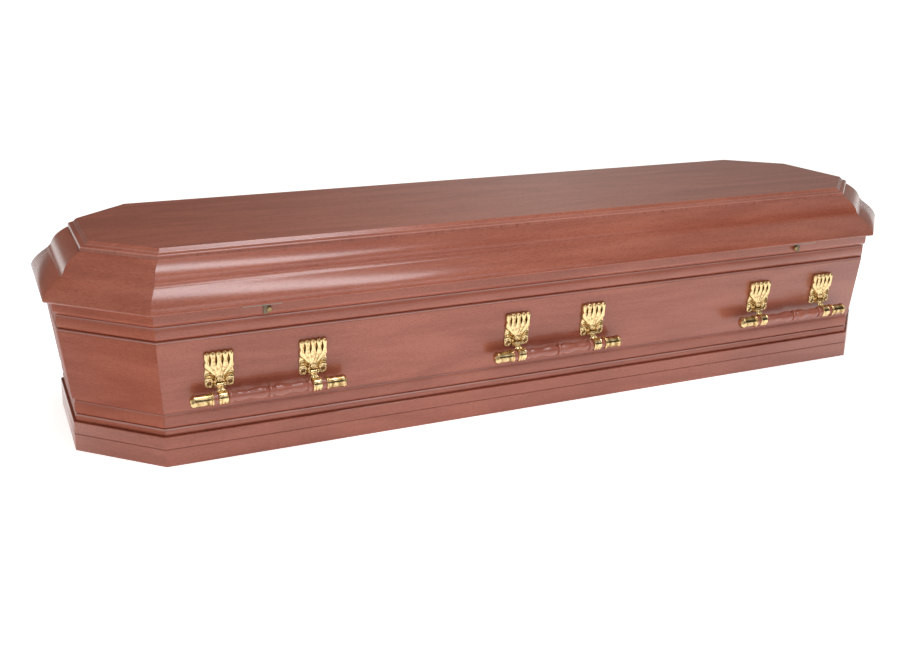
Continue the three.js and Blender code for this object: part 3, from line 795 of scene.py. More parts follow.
def board_mesh(name, body, profile, side, batch, rub=0.0):
    """One board of the profile along one side, mitred at both ends, with its arrises broken."""
    profile = np.asarray(profile, float)
    count = len(profile)
    gap = body.mitre_gap / 2
    inset = np.where(profile[:, 0] > profile[:, 0].mean(), body.arris, 0.0)[:, None]
    starts = np.array([corner(body, side, offset) for offset in profile[:, 0]])
    ends = np.array([corner(body, (side + 1) % len(SIDES), offset) for offset in profile[:, 0]])
    along = (ends - starts) / np.linalg.norm(ends - starts, axis=1)[:, None]
    rows = []
    for base, sense in ((starts, 1), (ends, -1)):
        shade_and_blotch = base + sense * along * gap - side_direction(side) * inset * 0.5
        full = base + sense * along * (gap + inset)
        rows += [shade_and_blotch, full][::sense]
    depth = np.full(count, side * 0.37 + batch)
    distance = profile_length(profile)
    points = [np.column_stack([row, profile[:, 1]]) for row in rows]
    grain = [np.column_stack([row @ along[0] + batch, distance, depth]) for row in rows]
    faces = tube_faces(len(rows), count, flip=True) + end_faces(len(rows), count, flip=True)
    # Painted highlight along the board's upward-facing edges
    paler = np.tile(painted(profile) * rub, len(rows))
    points, grain = np.concatenate(points), np.concatenate(grain)
    return make_mesh(name, points, faces, BOARD_SHARP, grain, rub=paler)


def slab_mesh(name, body, edge, batch, rub=0.4):
    """A solid board with the given edge on all eight sides and its grain along X."""
    count = len(SIDES)
    points = np.array([(*corner(body, side, out), up) for out, up in edge for side in range(count)])
    faces = tube_faces(len(edge), count) + end_faces(len(edge), count)
    # Painted highlight along the slab's upward-facing edges
    paler = np.repeat(painted(np.asarray(edge, float)) * rub, count)
    return make_mesh(name, points, faces, BOARD_SHARP, points + (batch, 0, batch), rub=paler)


# Handle shapes, in the frame of a plate


def smooth_step(value):
    value = np.clip(value, 0, 1)
    return value * value * (3 - 2 * value)


def hump(distance, width):
    """1 at no distance, falling off smoothly over the width."""
    return np.exp(-((distance / width) ** 2))


def plate_outline(handle, across, up):
    """Points of the plate's face for shares across from -1 to 1 and up from 0 to 1."""
    half = handle.plate_width / 2
    boss = handle.boss_radius
    scallop = handle.scallop
    x = across * half
    past = np.clip((np.abs(x) - (half - boss)) / boss, 0, 1)
    corner_lift = boss * (1 - np.sqrt(1 - past**2))
    arch = scallop * smooth_step(1 - np.abs(x) / (half - boss))
    in_slot = np.abs(x) < handle.hub_width / 2 + handle.swing_gap
    slot_top = handle.pivot_up + handle.hub_radius + handle.swing_gap
    low = np.where(in_slot, slot_top, np.maximum(corner_lift, arch))
    lobe = np.abs(np.sin(math.pi * (across + 1) / 2 * handle.leaf_count))
    high = handle.plate_height - scallop * (1 - lobe**0.7) - 0.6 * scallop * across**4
    y = low + (high - low) * up
    climb = np.clip((y - 2 * boss) / (handle.plate_height - 2 * boss), 0, 1)
    bumps = np.abs(np.sin(math.pi * 3 * climb)) ** 0.6
    pull = 1 - 0.8 * scallop / half * (1 - bumps) * np.abs(across) ** 8 * (y > 2 * boss)
    return x * pull, y


# Relief of a plate: rounded edge, fan, slits, brim, ribs, grooves, bosses, scrolls and cheeks
EDGE_ROUND = 0.0024
FAN_START, FAN_FOOT_HALF, FAN_TOP = 0.004, 0.0058, 0.60
SLIT_HALF, SLIT_SOFT = 0.0021, 0.0006
BRIM_RISE, BRIM_WIDTH, BRIM_SLOPE = 0.0016, 0.0010, 1.4
RIB_HEIGHTS, RIB_RISE, RIB_WIDTH = (0.0212, 0.0268), 0.0030, 0.0016
GROOVE_BELOW, GROOVE_DEPTH, GROOVE_WIDTH = 0.0028, 0.0014, 0.0009
BOSS_RISE, BOSS_SOFT = 0.0022, 0.0025
DISH_RADIUS, DISH_DEPTH, DISH_SOFT = 0.0048, 0.0030, 0.0022
SCROLL_X, SCROLL_Y, SCROLL_RISE, SCROLL_RADIUS = 0.0135, 0.0125, 0.0022, 0.0028
CHEEK_WIDTH, CHEEK_WALL = 0.0046, 0.0032
ROSETTE_FOOT, ROSETTE_RISE, PETALS = 0.0042, 0.0046, 8
BRINK = 0.0006
SCREW_HEIGHT = 0.0036


def plate_height_at(handle, x, y, across, up):
    """How far the face of a plate stands off the wall, and how much shade is painted on it."""
    half = handle.plate_width / 2
    tall = handle.plate_height
    leaves = handle.leaf_count
    slot_top = handle.pivot_up + handle.hub_radius + handle.swing_gap
    rosette_up = slot_top + handle.rosette_radius
    out = np.abs(x)
    rim = np.minimum((1 - np.abs(across)) * half, (1 - up) * tall)
    rounding = np.sqrt(1 - (1 - np.clip(rim / EDGE_ROUND, 0, 1)) ** 2)

    fan_foot = rosette_up + FAN_START
    climb = np.clip((y - fan_foot) / (tall - fan_foot), 0, 1)
    opening = np.clip((y - fan_foot) / (FAN_TOP * tall - fan_foot), 0, 1)
    fan_half = FAN_FOOT_HALF + (half * 1.03 - FAN_FOOT_HALF) * opening
    place = (x / fan_half + 1) / 2 * leaves
    inside = (out < fan_half) & (y > fan_foot - FAN_START)
    share = 2 * (place - np.floor(place)) - 1
    flute = 0.38 + 0.22 * smooth_step((climb - 0.35) / 0.3)
    section = 1 - flute * (1 - (1 - share**2) ** 0.6) + 0.12 * hump(share, 0.14)
    section = section - 0.14 * hump(np.abs(share) - 0.5, 0.14) * smooth_step((climb - 0.4) / 0.3)
    swell = 0.50 + 0.50 * smooth_step((climb - 0.1) / 0.6) - 0.35 * smooth_step((climb - 0.84) / 0.16)
    leaf = handle.leaf_rise * section * swell
    valley = np.minimum(place - np.floor(place), np.ceil(place) - place) * 2 * fan_half / leaves
    inner_valley = (place > 0.5) & (place < leaves - 0.5)
    slit = np.clip((climb - 0.46) / 0.40, 0, 1)
    slit_half = SLIT_HALF * np.sin(math.pi * slit**1.3) * inner_valley
    slit_depth = smooth_step((slit_half - valley) / SLIT_SOFT + 0.5) * (slit_half > 2e-4)

    face = handle.plate_edge * np.ones_like(x)
    fan_edge = smooth_step((fan_half - out) / 0.0014)
    fan_start = smooth_step((y - fan_foot + FAN_START) / 0.006)
    face = face + np.where(inside, leaf * fan_edge * fan_start, 0)
    beside_fan = (opening < 1) * (y > fan_foot)
    face = face + BRIM_RISE * hump(np.abs(out - fan_half) / BRIM_SLOPE, BRIM_WIDTH) * beside_fan

    run = np.clip((half - 0.002 - out) / (half - 0.009), 0, 1)
    sweep = y + 0.0085 * run**2 - 0.0035 * np.sin(math.pi * run)
    ribbed = smooth_step((half - 0.0012 - out) / 0.002) * smooth_step((out - 0.0075) / 0.003)
    ribbed = ribbed * smooth_step((out - fan_half - 0.001) / 0.0015)
    grooves = np.zeros_like(x)
    for level in RIB_HEIGHTS:
        face = face + RIB_RISE * hump(sweep - level, RIB_WIDTH) * ribbed
        grooves = grooves + hump(sweep - level + GROOVE_BELOW, GROOVE_WIDTH) * ribbed
    face = face - GROOVE_DEPTH * grooves

    boss = handle.boss_radius
    from_screw = np.hypot(out - (half - boss), y - boss)
    dish = smooth_step((DISH_RADIUS - from_screw) / DISH_SOFT)
    face = face + BOSS_RISE * smooth_step((boss - from_screw) / BOSS_SOFT) - DISH_DEPTH * dish

    scroll = np.hypot(out - SCROLL_X, y - SCROLL_Y)
    face = face + SCROLL_RISE * hump(scroll, SCROLL_RADIUS) - 0.0012 * hump(scroll - 0.0040, 0.0010)

    hub_half = handle.hub_width / 2 + handle.swing_gap
    cheek_x = smooth_step((out - hub_half + 0.0008) / 0.0008)
    cheek_x = cheek_x * smooth_step((hub_half + CHEEK_WIDTH - out) / 0.0012)
    cheek_y = np.clip(1 - ((y - handle.pivot_up) / handle.hub_radius) ** 2, 0, 1)
    cheek = (handle.pivot_out + CHEEK_WALL * np.sqrt(cheek_y)) * (cheek_y > 0)
    face = np.maximum(face, cheek * cheek_x * smooth_step(cheek_y * 4))

    turn = np.arctan2(y - rosette_up, x)
    radius = np.hypot(x, y - rosette_up)
    petals = 1 + 0.10 * np.cos(PETALS * turn) * np.clip(radius / handle.rosette_radius, 0, 1)
    dome = np.sqrt(np.clip(1 - (radius / (handle.rosette_radius * petals)) ** 2, 0, 1))
    rosette = ROSETTE_FOOT + ROSETTE_RISE * dome - 0.0012 * hump(radius - 0.0030, 0.0007)
    rosette = rosette + 0.0014 * hump(radius, 0.0018)
    face = np.where(dome > 0, np.maximum(face, rosette), face)

    face = face * rounding + BRINK * (1 - rounding)
    face = face - slit_depth * np.where(inside, 0.85 * (face - 0.0010), 0)
    # Painted shade in the slits, between the leaves, in the dishes and grooves, beside the fan, round the
    # rosette and on the rounded edge
    hollow = (
        slit_depth * inside
        + 0.40 * hump(valley, 0.0007) * inside * smooth_step((climb - 0.1) / 0.2)
        + 0.7 * dish
        + 0.7 * grooves
        + 0.45 * hump(out - fan_half - 0.0016, 0.0009) * beside_fan
        + 0.5 * hump(radius - handle.rosette_radius * 1.05, 0.0008)
        + 0.35 * (1 - rounding)
    )
    return face, np.clip(hollow, 0, 1)


def plate_mesh(handle):
    """A cast plate: a fan of leaves over ribs, a rosette and two screw bosses."""
    rows, step = 110, 1e-4
    slot = (handle.hub_width / 2 + handle.swing_gap) / (handle.plate_width / 2)
    beside_slot = [-slot - step, -slot + step, slot - step, slot + step]
    spread = np.sort(np.concatenate([np.linspace(-1, 1, 97), beside_slot]))
    across, up = np.meshgrid(spread, np.linspace(0, 1, rows), indexing="ij")
    x, y = plate_outline(handle, across, up)
    z, hollow = plate_height_at(handle, x, y, across, up)
    points = np.column_stack([x.ravel(), y.ravel(), z.ravel()])
    index = np.arange(len(points)).reshape(-1, rows)
    corners = (index[:-1, :-1], index[1:, :-1], index[1:, 1:], index[:-1, 1:])
    faces = [*zip(*(part.ravel().tolist() for part in corners))]
    rim = [*index[:-1, 0], *index[-1, :-1], *index[:0:-1, -1], *index[0, :0:-1]]
    start, count = len(points), len(rim)
    points = np.vstack([points, points[rim] * (1, 1, 0)])
    for k in range(count):
        after = (k + 1) % count
        faces.append((rim[k], start + k, start + after, rim[after]))
    faces.append(tuple(reversed(range(start, start + count))))
    # Painted shade on the plate's sides
    tint = np.concatenate([hollow.ravel(), np.full(count, 0.6)])
    return make_mesh("cast_plate", points, faces, smooth_angle=math.radians(60), hollow=tint)


def arm_mesh(handle):
    """A cast arm: a hub, a fluted neck that widens, and a ring with three toes round the bar."""
    hub_at = np.array([0, handle.pivot_up, handle.pivot_out])
    ring_at = np.array([0, -handle.bar_drop, handle.bar_out])
    bore = handle.seat_radius + handle.bar_gap
    ring_radius = bore + handle.ring_wall
    half, radius, edge = handle.hub_width / 2, handle.hub_radius, handle.hub_edge
    right = [(half - edge, radius), (half, radius - edge), (half, 0)]
    hub = turned_mesh("arm_hub", [*((-x, r) for x, r in reversed(right)), *right], sides=40)
    hub.transform(Matrix.Translation(Vector(hub_at)))
    ring = ring_mesh(handle, bore, ring_radius)
    ring.transform(Matrix.Translation(Vector(ring_at)))
    neck = neck_mesh(handle, hub_at, ring_at, ring_radius)
    return union("cast_arm", [hub, neck, ring], smooth_angle=math.radians(40))


def ring_mesh(handle, bore, radius):
    """A ring round the bar, with grooves between three toes on its lower front."""
    sides, steps = 64, 48
    lip_rise, toe_depth = 0.0007, 0.0020
    share, turn = np.meshgrid(np.linspace(-1, 1, steps), around(sides), indexing="ij")
    lower = smooth_step((0.35 - np.sin(turn)) / 0.5)
    toes = np.abs(np.sin(1.5 * math.pi * (share + 1))) ** 0.5
    edge = np.sqrt(np.clip(1 - np.clip((np.abs(share) - 0.88) / 0.12, 0, 1) ** 2, 0.1, 1))
    lip = lip_rise * hump(np.abs(share) - 0.86, 0.08) * (1 - lower)
    outer = bore + (radius - bore) * edge + lip - toe_depth * (1 - toes) * lower
    reach = np.concatenate([outer, np.full_like(outer, bore)])
    share, turn = np.concatenate([share, share[::-1]]), np.concatenate([turn, turn])
    points = [share * handle.ring_width / 2, reach * np.sin(turn), reach * np.cos(turn)]
    # Painted shade in the grooves between the toes and inside the bore
    tint = np.concatenate([(1 - toes) * lower * 0.9, np.full_like(outer, 0.8)])
    faces = tube_faces(2 * steps, sides, closed=True)
    return make_mesh("arm_ring", np.stack(points, -1).reshape(-1, 3), faces, hollow=tint)


def neck_mesh(handle, hub_at, ring_at, ring_radius):
    """The neck between hub and ring: two flutes down its face, and small ears above the ring."""
    steps, sides = 40, 48
    ear_reach, flute_depth = 0.0022, 0.0018
    reach = np.linalg.norm(ring_at - hub_at)
    down = (ring_at - hub_at) / reach
    across = np.array([1.0, 0, 0])
    out = np.cross(down, across)
    end = (reach - ring_radius + handle.ring_wall * 0.6) / reach
    turns = around(sides)
    box = (np.abs(np.cos(turns)) ** 4 + np.abs(np.sin(turns)) ** 4) ** -0.25
    points, tint = [], []
    for share in np.linspace(0, end, steps):
        t = share / end
        widening = (handle.ring_width - handle.neck_width) / 2 * t**2.2
        half = handle.neck_width / 2 + widening + ear_reach * hump(t - 0.86, 0.09)
        x = half * np.cos(turns) * box
        flute = hump(np.abs(x) - half * 0.34, half * 0.15) * (np.sin(turns) > 0.3)
        flute = flute * math.sin(math.pi * min(1.0, 0.2 + t * 0.8)) ** 0.5
        z = handle.neck_thickness / 2 * np.sin(turns) * box - flute_depth * flute
        place = hub_at + down * reach * share
        points.append(place + np.outer(x, across) + np.outer(z, out))
        # Painted shade in the flutes
        tint.append(0.9 * flute)
    faces = tube_faces(steps, sides) + end_faces(steps, sides)
    mesh = make_mesh("arm_neck", np.concatenate(points), faces, hollow=np.concatenate(tint))
    face_outward(mesh)
    return mesh


def face_outward(mesh):
    """Turns a closed mesh's faces outward."""
    work = bmesh.new()
    work.from_mesh(mesh)
    bmesh.ops.recalc_face_normals(work, faces=work.faces)
    if work.calc_volume(signed=True) < 0:
        bmesh.ops.reverse_faces(work, faces=work.faces)
    work.to_mesh(mesh)
    work.free()


def eased(points, steps=10):
    """A smooth curve through (x, radius) points that is level at each of them."""
    curve = [points[0]]
    for (x0, r0), (x1, r1) in zip(points, points[1:]):
        for step in range(1, steps + 1):
            share = step / steps
            curve.append((x0 + (x1 - x0) * share, r0 + (r1 - r0) * share * share * (3 - 2 * share)))
    return curve


def bulge(start, end, low, high, steps=10):
    """A half-round bead between two places, as (x, radius) points."""
    turns = np.linspace(0, math.pi, steps + 1)
    middle, half = (start + end) / 2, (end - start) / 2
    return [(middle - half * math.cos(t), low + (high - low) * math.sin(t)) for t in turns]


def tip_start(handle):
    """Distance of a tip's open end from the middle of the bar."""
    return (handle.arm_spacing + handle.ring_width) / 2 + handle.bar_show


def bar_mesh(handle):
    """The turned bar: a reel in the middle, two vases, and a bead beside each ring."""
    seat_in = (handle.arm_spacing - handle.ring_width) / 2 - 0.001
    bead_in = seat_in - handle.bead_width
    reel = handle.reel_width / 2
    groove = (reel * 0.75, handle.reel_groove)
    shoulder = (reel + 0.006, handle.swell_radius * 0.93)
    swell, waist, knop = (reel + (bead_in - reel) * share for share in (0.22, 0.56, 0.84))
    vase = [
        shoulder,
        (swell, handle.swell_radius),
        (waist, handle.waist_radius),
        (knop, handle.knop_radius),
        (bead_in, handle.waist_radius),
    ]
    end = tip_start(handle) + handle.tip_socket - handle.bar_gap
    half = [
        (0.0, handle.swell_radius),
        *bulge(-groove[0], groove[0], handle.reel_groove, handle.swell_radius, steps=24)[13:],
        *eased([groove, shoulder], steps=8)[1:],
        *eased(vase, steps=12)[1:],
        *bulge(bead_in, seat_in, handle.seat_radius * 0.90, handle.swell_radius * 0.985, steps=14),
        (seat_in + 0.0008, handle.seat_radius),
        (end, handle.seat_radius),
    ]
    left = [(-x, r) for x, r in reversed(half[1:])]
    profile = [(-end, 0), *left, *half, (end, 0)]
    return turned_mesh("turned_bar", profile, sides=64, smooth_angle=math.radians(45))


def tip_mesh(handle):
    """A tip for the right end of a bar: two rings, a plain length, a rim and a fluted cap."""
    start = tip_start(handle)
    collar_end = start + handle.tip_collar_width
    cap_start = start + handle.tip_length - handle.tip_cap
    rim_start = cap_start - 0.0035
    socket = handle.seat_radius + handle.bar_gap
    body, collar = handle.tip_radius, handle.tip_collar
    ring_end, ring_start = (start + handle.tip_collar_width * share for share in (0.55, 0.6))
    profile = [
        (start + handle.tip_socket, 0),
        (start + handle.tip_socket, socket),
        (start, socket),
        *bulge(start, ring_end, body * 1.02, collar),
        *bulge(ring_start, collar_end, body, collar * 0.95),
        (collar_end + 0.0008, body),
        (collar_end + 0.0040, body * 0.985),
        ((start + rim_start) / 2, body * 1.01),
        (rim_start - 0.0030, body * 0.985),
        (rim_start - 0.0006, body),
        *bulge(rim_start, cap_start, body, handle.tip_rim),
        *[
            (cap_start + handle.tip_cap * math.sin(t), body * 0.97 * math.cos(t) + 0.0004)
            for t in np.linspace(0, math.pi / 2, 14)[:-1]
        ],
        (start + handle.tip_length, 0),
    ]
    # Painted shade in the grooves of the tip
    hollow = [0.1] * 3 + [
        0.6 if radius < body * 0.99 and along < rim_start else 0.1 for along, radius in profile[3:]
    ]

    def flutes(along, turns):
        return 1 - 0.09 * np.abs(np.sin(4 * turns)) ** 0.6 * (along > cap_start + 0.0008)

    return turned_mesh("handle_tip", profile, 64, flutes, math.radians(45), hollow)


def screw_mesh():
    """A countersunk screw head with a cross cut in it, facing up the Z axis."""
    radius, depth, sides = 0.0030, 0.0012, 32
    slot_depth, middle_depth, slot_half = 0.0005, 0.0007, 0.35
    turns = around(sides)
    sunk = [0, 0, 0, slot_depth * (np.abs(np.sin(2 * turns)) < slot_half), middle_depth]
    rings = ((0.55, -depth), (1.0, 0.0), (0.93, 0.00025), (0.5, 0.0005), (0.12, 0.0005))
    points = []
    for (share, height), cut in zip(rings, sunk):
        reach = radius * share
        up = np.full(sides, height) - cut
        points.append(np.column_stack([reach * np.cos(turns), reach * np.sin(turns), up]))
    faces = tube_faces(len(rings), sides) + end_faces(len(rings), sides)
    return make_mesh("screw_head", np.concatenate(points), faces)


# Places of the handles


def wall_lean(body):
    """The turn from a plate's own frame to one that stands upright before the wall."""
    return Matrix.Rotation(math.pi / 2 + body.cant, 4, "X")


def handle_frames(body, handle):
    """For each handle: its body's name and the upright frame at the foot of its plates."""
    found = []
    lean = wall_lean(body)
    for joint in frame["joints"]:
        name = joint["child"]
        turn = Matrix.Rotation(math.pi if name.startswith("back") else 0.0, 4, "Z")
        pivot = turn @ lean @ Vector((0, handle.pivot_up, handle.pivot_out))
        found.append((name, Matrix.Translation(Vector(joint["pos_m"]) - pivot) @ turn))
    if not found:
        raise RuntimeError("the frame has no handle joints")
    return found


def arm_places(handle):
    return (("left", -handle.arm_spacing / 2), ("right", handle.arm_spacing / 2))


# Operators


class COFFIN_OT_walls(bpy.types.Operator):
    """Make the eight moulded wall boards"""

    bl_idname = "coffin.walls"
    bl_label = "Walls"

    def execute(self, context):
        body = context.scene.coffin_body
        profile = wall_profile(body)
        for side, name in enumerate(SIDES):
            mesh = board_mesh(f"{name}_wall_board", body, profile, side, batch=0.9 * side, rub=1.0)
            finish = "boards" if side % 4 == 0 else "short_boards"
            add_piece(f"{name}_wall_board", mesh, finish, "coffin", [f"{name}_wall"])
        return {"FINISHED"}


class COFFIN_OT_plinth(bpy.types.Operator):
    """Make the eight boards of the plinth"""

    bl_idname = "coffin.plinth"
    bl_label = "Plinth"

    def execute(self, context):
        body = context.scene.coffin_body
        profile = plinth_profile(body)
        for side, name in enumerate(SIDES):
            batch = 3.1 + 0.7 * side
            mesh = board_mesh(f"{name}_plinth_board", body, profile, side, batch, rub=1.0)
            nodes = ["plinth"] if side == 0 else []
            add_piece(f"{name}_plinth_board", mesh, "boards", "coffin", nodes)
        return {"FINISHED"}


class COFFIN_OT_lid(bpy.types.Operator):
    """Make the eight wave-moulded lid boards and the flat top board"""

    bl_idname = "coffin.lid"
    bl_label = "Lid"

    def execute(self, context):
        body = context.scene.coffin_body
        lid = context.scene.coffin_lid
        profile = lid_frame_profile(body, lid)
        for side, name in enumerate(SIDES):
            mesh = board_mesh(f"{name}_lid_board", body, profile, side, batch=5.3 + 0.8 * side)
            nodes = ["lid_frame"] if side == 0 else []
            add_piece(f"{name}_lid_board", mesh, "boards", "coffin", nodes)
        top = slab_mesh("lid_flat_top", body, lid_edge(body, lid), batch=2.2)
        add_piece("lid_flat_top", top, "boards", "coffin", ["lid_top_board"])
        return {"FINISHED"}


class COFFIN_OT_floor_board(bpy.types.Operator):
    """Make the floor board inside the walls"""

    bl_idname = "coffin.floor_board"
    bl_label = "Floor board"

    def execute(self, context):
        body = context.scene.coffin_body
        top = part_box("floor_board")[1].z
        gap = body.fit_gap
        edge = [(inner_offset(body, 0) - gap, 0), (inner_offset(body, top) - gap, top)]
        mesh = slab_mesh("floor_boarding", body, edge, batch=7.7)
        add_piece("floor_boarding", mesh, "boards", "coffin", ["floor_board"])
        return {"FINISHED"}


class COFFIN_OT_plates(bpy.types.Operator):
    """Make the cast handle plates and their screws"""

    bl_idname = "coffin.plates"
    bl_label = "Plates"

    def execute(self, context):
        body = context.scene.coffin_body
        handle = context.scene.coffin_handle
        lean = wall_lean(body)
        plate = plate_mesh(handle)
        plate.transform(lean)
        screw = screw_mesh()
        boss_x = handle.plate_width / 2 - handle.boss_radius
        for name, place in handle_frames(body, handle):
            for label, x in arm_places(handle):
                at = place @ Matrix.Translation(lean @ Vector((x, 0, body.fit_gap)))
                node = f"{name}_{label}_plate"
                add_piece(f"{name}_{label}_cast_plate", plate, "cast_gold", "coffin", [node], at)
                for side, hand in (("left", -1), ("right", 1)):
                    seat = Matrix.Translation((hand * boss_x, handle.boss_radius, SCREW_HEIGHT))
                    spot = at @ lean @ seat @ Matrix.Rotation(0.4 + hand * 0.5 + x, 4, "Z")
                    add_piece(
                        f"{name}_{label}_{side}_screw", screw, "screw_heads", "coffin", (), spot
                    )
        return {"FINISHED"}


class COFFIN_OT_arms(bpy.types.Operator):
    """Make the cast arms that carry the bars"""

    bl_idname = "coffin.arms"
    bl_label = "Arms"

    def execute(self, context):
        body = context.scene.coffin_body
        handle = context.scene.coffin_handle
        arm = arm_mesh(handle)
        arm.transform(wall_lean(body))
        for name, place in handle_frames(body, handle):
            for label, x in arm_places(handle):
                at = place @ Matrix.Translation((x, 0, 0))
                add_piece(
                    f"{name}_{label}_cast_arm", arm, "cast_gold", name, [f"{name}_{label}_arm"], at
                )
        return {"FINISHED"}


class COFFIN_OT_bars(bpy.types.Operator):
    """Make the turned bars and their gold tips"""

    bl_idname = "coffin.bars"
    bl_label = "Bars and tips"

    def execute(self, context):
        body = context.scene.coffin_body
        handle = context.scene.coffin_handle
        bar = bar_mesh(handle)
        tip = tip_mesh(handle)
        middle = wall_lean(body) @ Vector((0, -handle.bar_drop, handle.bar_out))
        for name, place in handle_frames(body, handle):
            at = place @ Matrix.Translation(middle)
            add_piece(f"{name}_turned_bar", bar, "bars", name, [f"{name}_bar"], at)
            for label, turn in (("left", math.pi), ("right", 0.0)):
                spot = at @ Matrix.Rotation(turn, 4, "Z")
                add_piece(
                    f"{name}_{label}_gold_tip", tip, "hammered_gold", name,
                    [f"{name}_{label}_tip"], spot,
                )
        return {"FINISHED"}


class COFFIN_OT_catches(bpy.types.Operator):
    """Make the lid catches below the rim"""

    bl_idname = "coffin.catches"
    bl_label = "Catches"

    def execute(self, context):
        catch = context.scene.coffin_catch
        for side in ("front", "back"):
            for label in ("left", "right"):
                self.make_catch(catch, side, label)
        return {"FINISHED"}

    def make_catch(self, catch, side, label):
        """One catch fitted in the box of its CAD node: strip, tab and knob."""
        node = f"{side}_{label}_catch"
        low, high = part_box(node)
        out, wall_y = (-1, high.y) if side == "front" else (1, low.y)
        middle_x = (low.x + high.x) / 2
        hand = -1 if middle_x > 0 else 1
        near, far = sorted((middle_x - hand * catch.strip_outer, middle_x + hand * catch.strip_inner))
        under = high.z - catch.strip_thickness
        strip = box_mesh("catch_strip", (near, low.y, under), (far, high.y, high.z), soft=0.0004)
        tab_in, tab_out = sorted([wall_y, wall_y + out * catch.tab_thickness])
        tab_half = catch.tab_width / 2
        tab = box_mesh(
            "catch_tab",
            (middle_x - tab_half, tab_in, low.z),
            (middle_x + tab_half, tab_out, under),
            soft=0.0008,
        )
        radius, reach = catch.knob_radius, catch.knob_length
        shares = ((0, 0), (0, 0.8), (0.45, 0.8), (0.5, 0.95), (0.6, 1), (0.9, 1), (1, 0.88), (1, 0))
        knob = turned_mesh("catch_knob", [(reach * x, radius * r) for x, r in shares], sides=32)
        knob_x = middle_x + hand * (tab_half + radius / 2)
        knob_z = high.z - (high.z - low.z) * catch.knob_drop
        place = Matrix.Translation((knob_x, wall_y, knob_z)) @ Matrix.Rotation(out * math.pi / 2, 4, "Z")
        add_piece(f"{node}_tab", tab, "catch_bronze", "coffin", [node])
        add_piece(f"{node}_strip", strip, "strip_steel", "coffin")
        add_piece(f"{node}_knob", knob, "knob_brass", "coffin", (), place)


def box_mesh(name, low, high, soft):
    """A block between two corners with its edges rounded."""
    low, high = Vector(low), Vector(high)
    place = Matrix.Translation((low + high) / 2) @ Matrix.Diagonal((*(high - low), 1))
    work = bmesh.new()
    bmesh.ops.create_cube(work, size=1.0, matrix=place)
    bmesh.ops.bevel(work, geom=work.edges[:], offset=soft, segments=3, affect="EDGES", profile=0.5)
    mesh = bpy.data.meshes.new(name)
    work.to_mesh(mesh)
    work.free()
    return smoothed(mesh, math.radians(35))


MIDDLE = (0.0, 0.0, 0.3)
LIGHTS = {
    "strip": {"place": (-0.4, -0.50, 2.5), "target": MIDDLE, "size": (1.8, 0.6)},
    "front": {"place": (-0.6, -4.2, 1.9), "target": MIDDLE, "size": (3.0, 1.6)},
    "edge": {"place": (-0.3, -2.2, 2.5), "target": MIDDLE, "size": (2.6, 0.22)},
    "floor": {"place": (0.1, -1.75, 1.5), "target": (0.1, -1.2, 0.0), "size": (2.8, 0.7)},
}
# How near to its direction a darker patch of the surroundings begins, and where it is full
PATCHES = {"shade": (0.62, 0.96), "side": (0.80, 0.97), "room": (0.66, 0.90)}


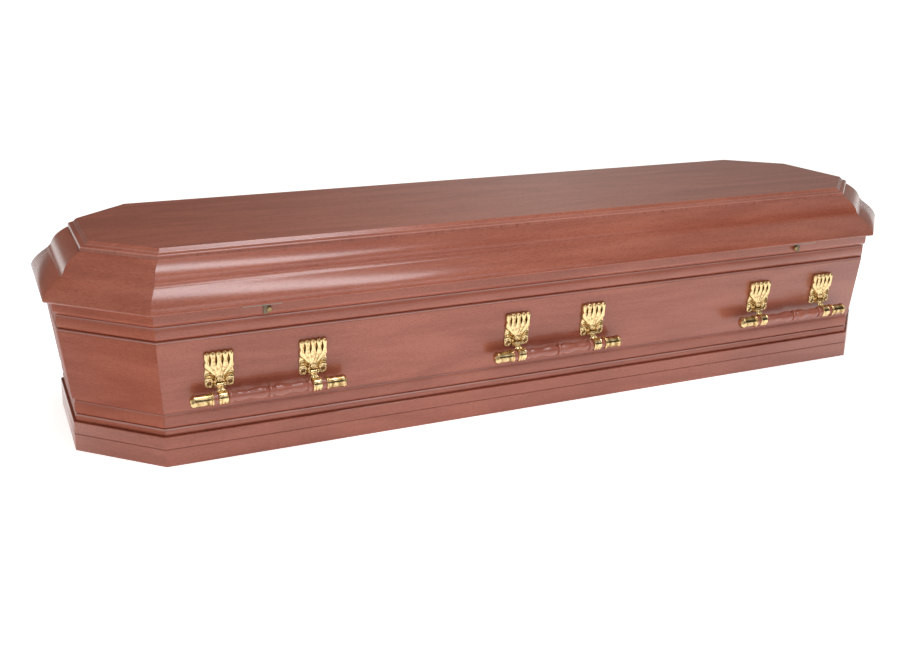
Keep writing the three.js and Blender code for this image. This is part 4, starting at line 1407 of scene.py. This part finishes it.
class COFFIN_OT_stage(bpy.types.Operator):
    """Make the floor, the lights and the camera"""

    bl_idname = "coffin.stage"
    bl_label = "Stage"

    def execute(self, context):
        studio = context.scene.coffin_studio
        self.make_floor()
        self.make_world(context.scene, studio)
        for name, light in LIGHTS.items():
            power = getattr(studio, f"{name}_power")
            add_area_light(f"{name}_light", power=power, tint=tuple(studio.light_tint), **light)
        self.make_camera(context.scene, studio)
        context.scene.view_settings.view_transform = "Standard"
        return {"FINISHED"}

    def make_floor(self):
        half = 60.0
        points = [(-half, -half, 0), (half, -half, 0), (half, half, 0), (-half, half, 0)]
        mesh = make_mesh("studio_floor", points, [(0, 1, 2, 3)])
        mesh.materials.append(finish_named("pale_floor"))
        floor = bpy.data.objects.new("studio_floor", mesh)
        bpy.context.scene.collection.objects.link(floor)

    def make_world(self, scene, studio):
        """Soft surroundings, darker in patches round the coffin, with a plain pale backdrop."""
        world = bpy.data.worlds.new("white_studio")
        world.use_nodes = True
        nodes = Nodes(world.node_tree)
        place = nodes.node("ShaderNodeTexCoord")
        seen = nodes.node("ShaderNodeLightPath")
        strength = None
        for name, (begins, full) in PATCHES.items():
            toward = Vector(getattr(studio, f"{name}_toward")).normalized()
            near = nodes.node(
                "ShaderNodeVectorMath", {"operation": "DOT_PRODUCT"}, {0: place, 1: toward}, DOT_VALUE
            )
            dark = getattr(studio, f"{name}_light")
            patch = nodes.ramp(near, begins, full, studio.world_light, dark)
            strength = strength.least(patch) if strength else patch
        back = world.node_tree.nodes["Background"]
        world.node_tree.links.new(strength.most(seen).output, back.inputs["Strength"])
        back.inputs["Color"].default_value = (*studio.world_tint, 1.0)
        scene.world = world

    def make_camera(self, scene, studio):
        data = bpy.data.cameras.new("view_camera")
        data.sensor_width = 36.0
        data.lens = studio.focal_pixels * data.sensor_width / IMAGE_SIZE[0]
        data.clip_start = 0.05
        camera = bpy.data.objects.new("view_camera", data)
        yaw, pitch, roll = studio.camera_yaw, studio.camera_pitch, studio.camera_roll
        ahead = Vector((math.sin(yaw) * math.cos(pitch), math.cos(yaw) * math.cos(pitch), -math.sin(pitch)))
        right = Vector((math.cos(yaw), -math.sin(yaw), 0))
        above = right.cross(ahead)
        lean_right = right * math.cos(roll) + above * math.sin(roll)
        lean_above = above * math.cos(roll) - right * math.sin(roll)
        turn = Matrix((lean_right, lean_above, -ahead)).transposed().to_4x4()
        camera.matrix_world = Matrix.Translation(Vector(studio.camera_place)) @ turn
        scene.collection.objects.link(camera)
        scene.camera = camera


def add_area_light(name, place, target, size, power, tint):
    """A soft rectangular light that faces a target."""
    data = bpy.data.lights.new(name, "AREA")
    data.shape = "RECTANGLE"
    data.size, data.size_y = size
    data.energy = power
    data.color = tint
    light = bpy.data.objects.new(name, data)
    light.location = place
    away = Vector(target) - Vector(place)
    light.rotation_euler = away.to_track_quat("-Z", "Y").to_euler()
    bpy.context.scene.collection.objects.link(light)


OPERATORS = (
    COFFIN_OT_stage,
    COFFIN_OT_walls,
    COFFIN_OT_plinth,
    COFFIN_OT_lid,
    COFFIN_OT_floor_board,
    COFFIN_OT_plates,
    COFFIN_OT_arms,
    COFFIN_OT_bars,
    COFFIN_OT_catches,
)


class COFFIN_PT_panel(bpy.types.Panel):
    """The coffin's pieces, each with its own button"""

    bl_idname = "COFFIN_PT_panel"
    bl_label = "Coffin"
    bl_space_type = "VIEW_3D"
    bl_region_type = "UI"
    bl_category = "Coffin"

    def draw(self, context):
        column = self.layout.column()
        for operator in OPERATORS:
            column.operator(operator.bl_idname)


def register():
    for group in GROUPS.values():
        bpy.utils.register_class(group)
    for name, group in GROUPS.items():
        setattr(bpy.types.Scene, name, bpy.props.PointerProperty(type=group))
    for operator in OPERATORS:
        bpy.utils.register_class(operator)
    bpy.utils.register_class(COFFIN_PT_panel)


def unregister():
    bpy.utils.unregister_class(COFFIN_PT_panel)
    for operator in reversed(OPERATORS):
        bpy.utils.unregister_class(operator)
    for name in GROUPS:
        delattr(bpy.types.Scene, name)
    for group in reversed(GROUPS.values()):
        bpy.utils.unregister_class(group)


def main():
    """Registers the add-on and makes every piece."""
    register()
    for operator in OPERATORS:
        group, action = operator.bl_idname.split(".")
        getattr(getattr(bpy.ops, group), action)()


if __name__ == "__main__":
    main()
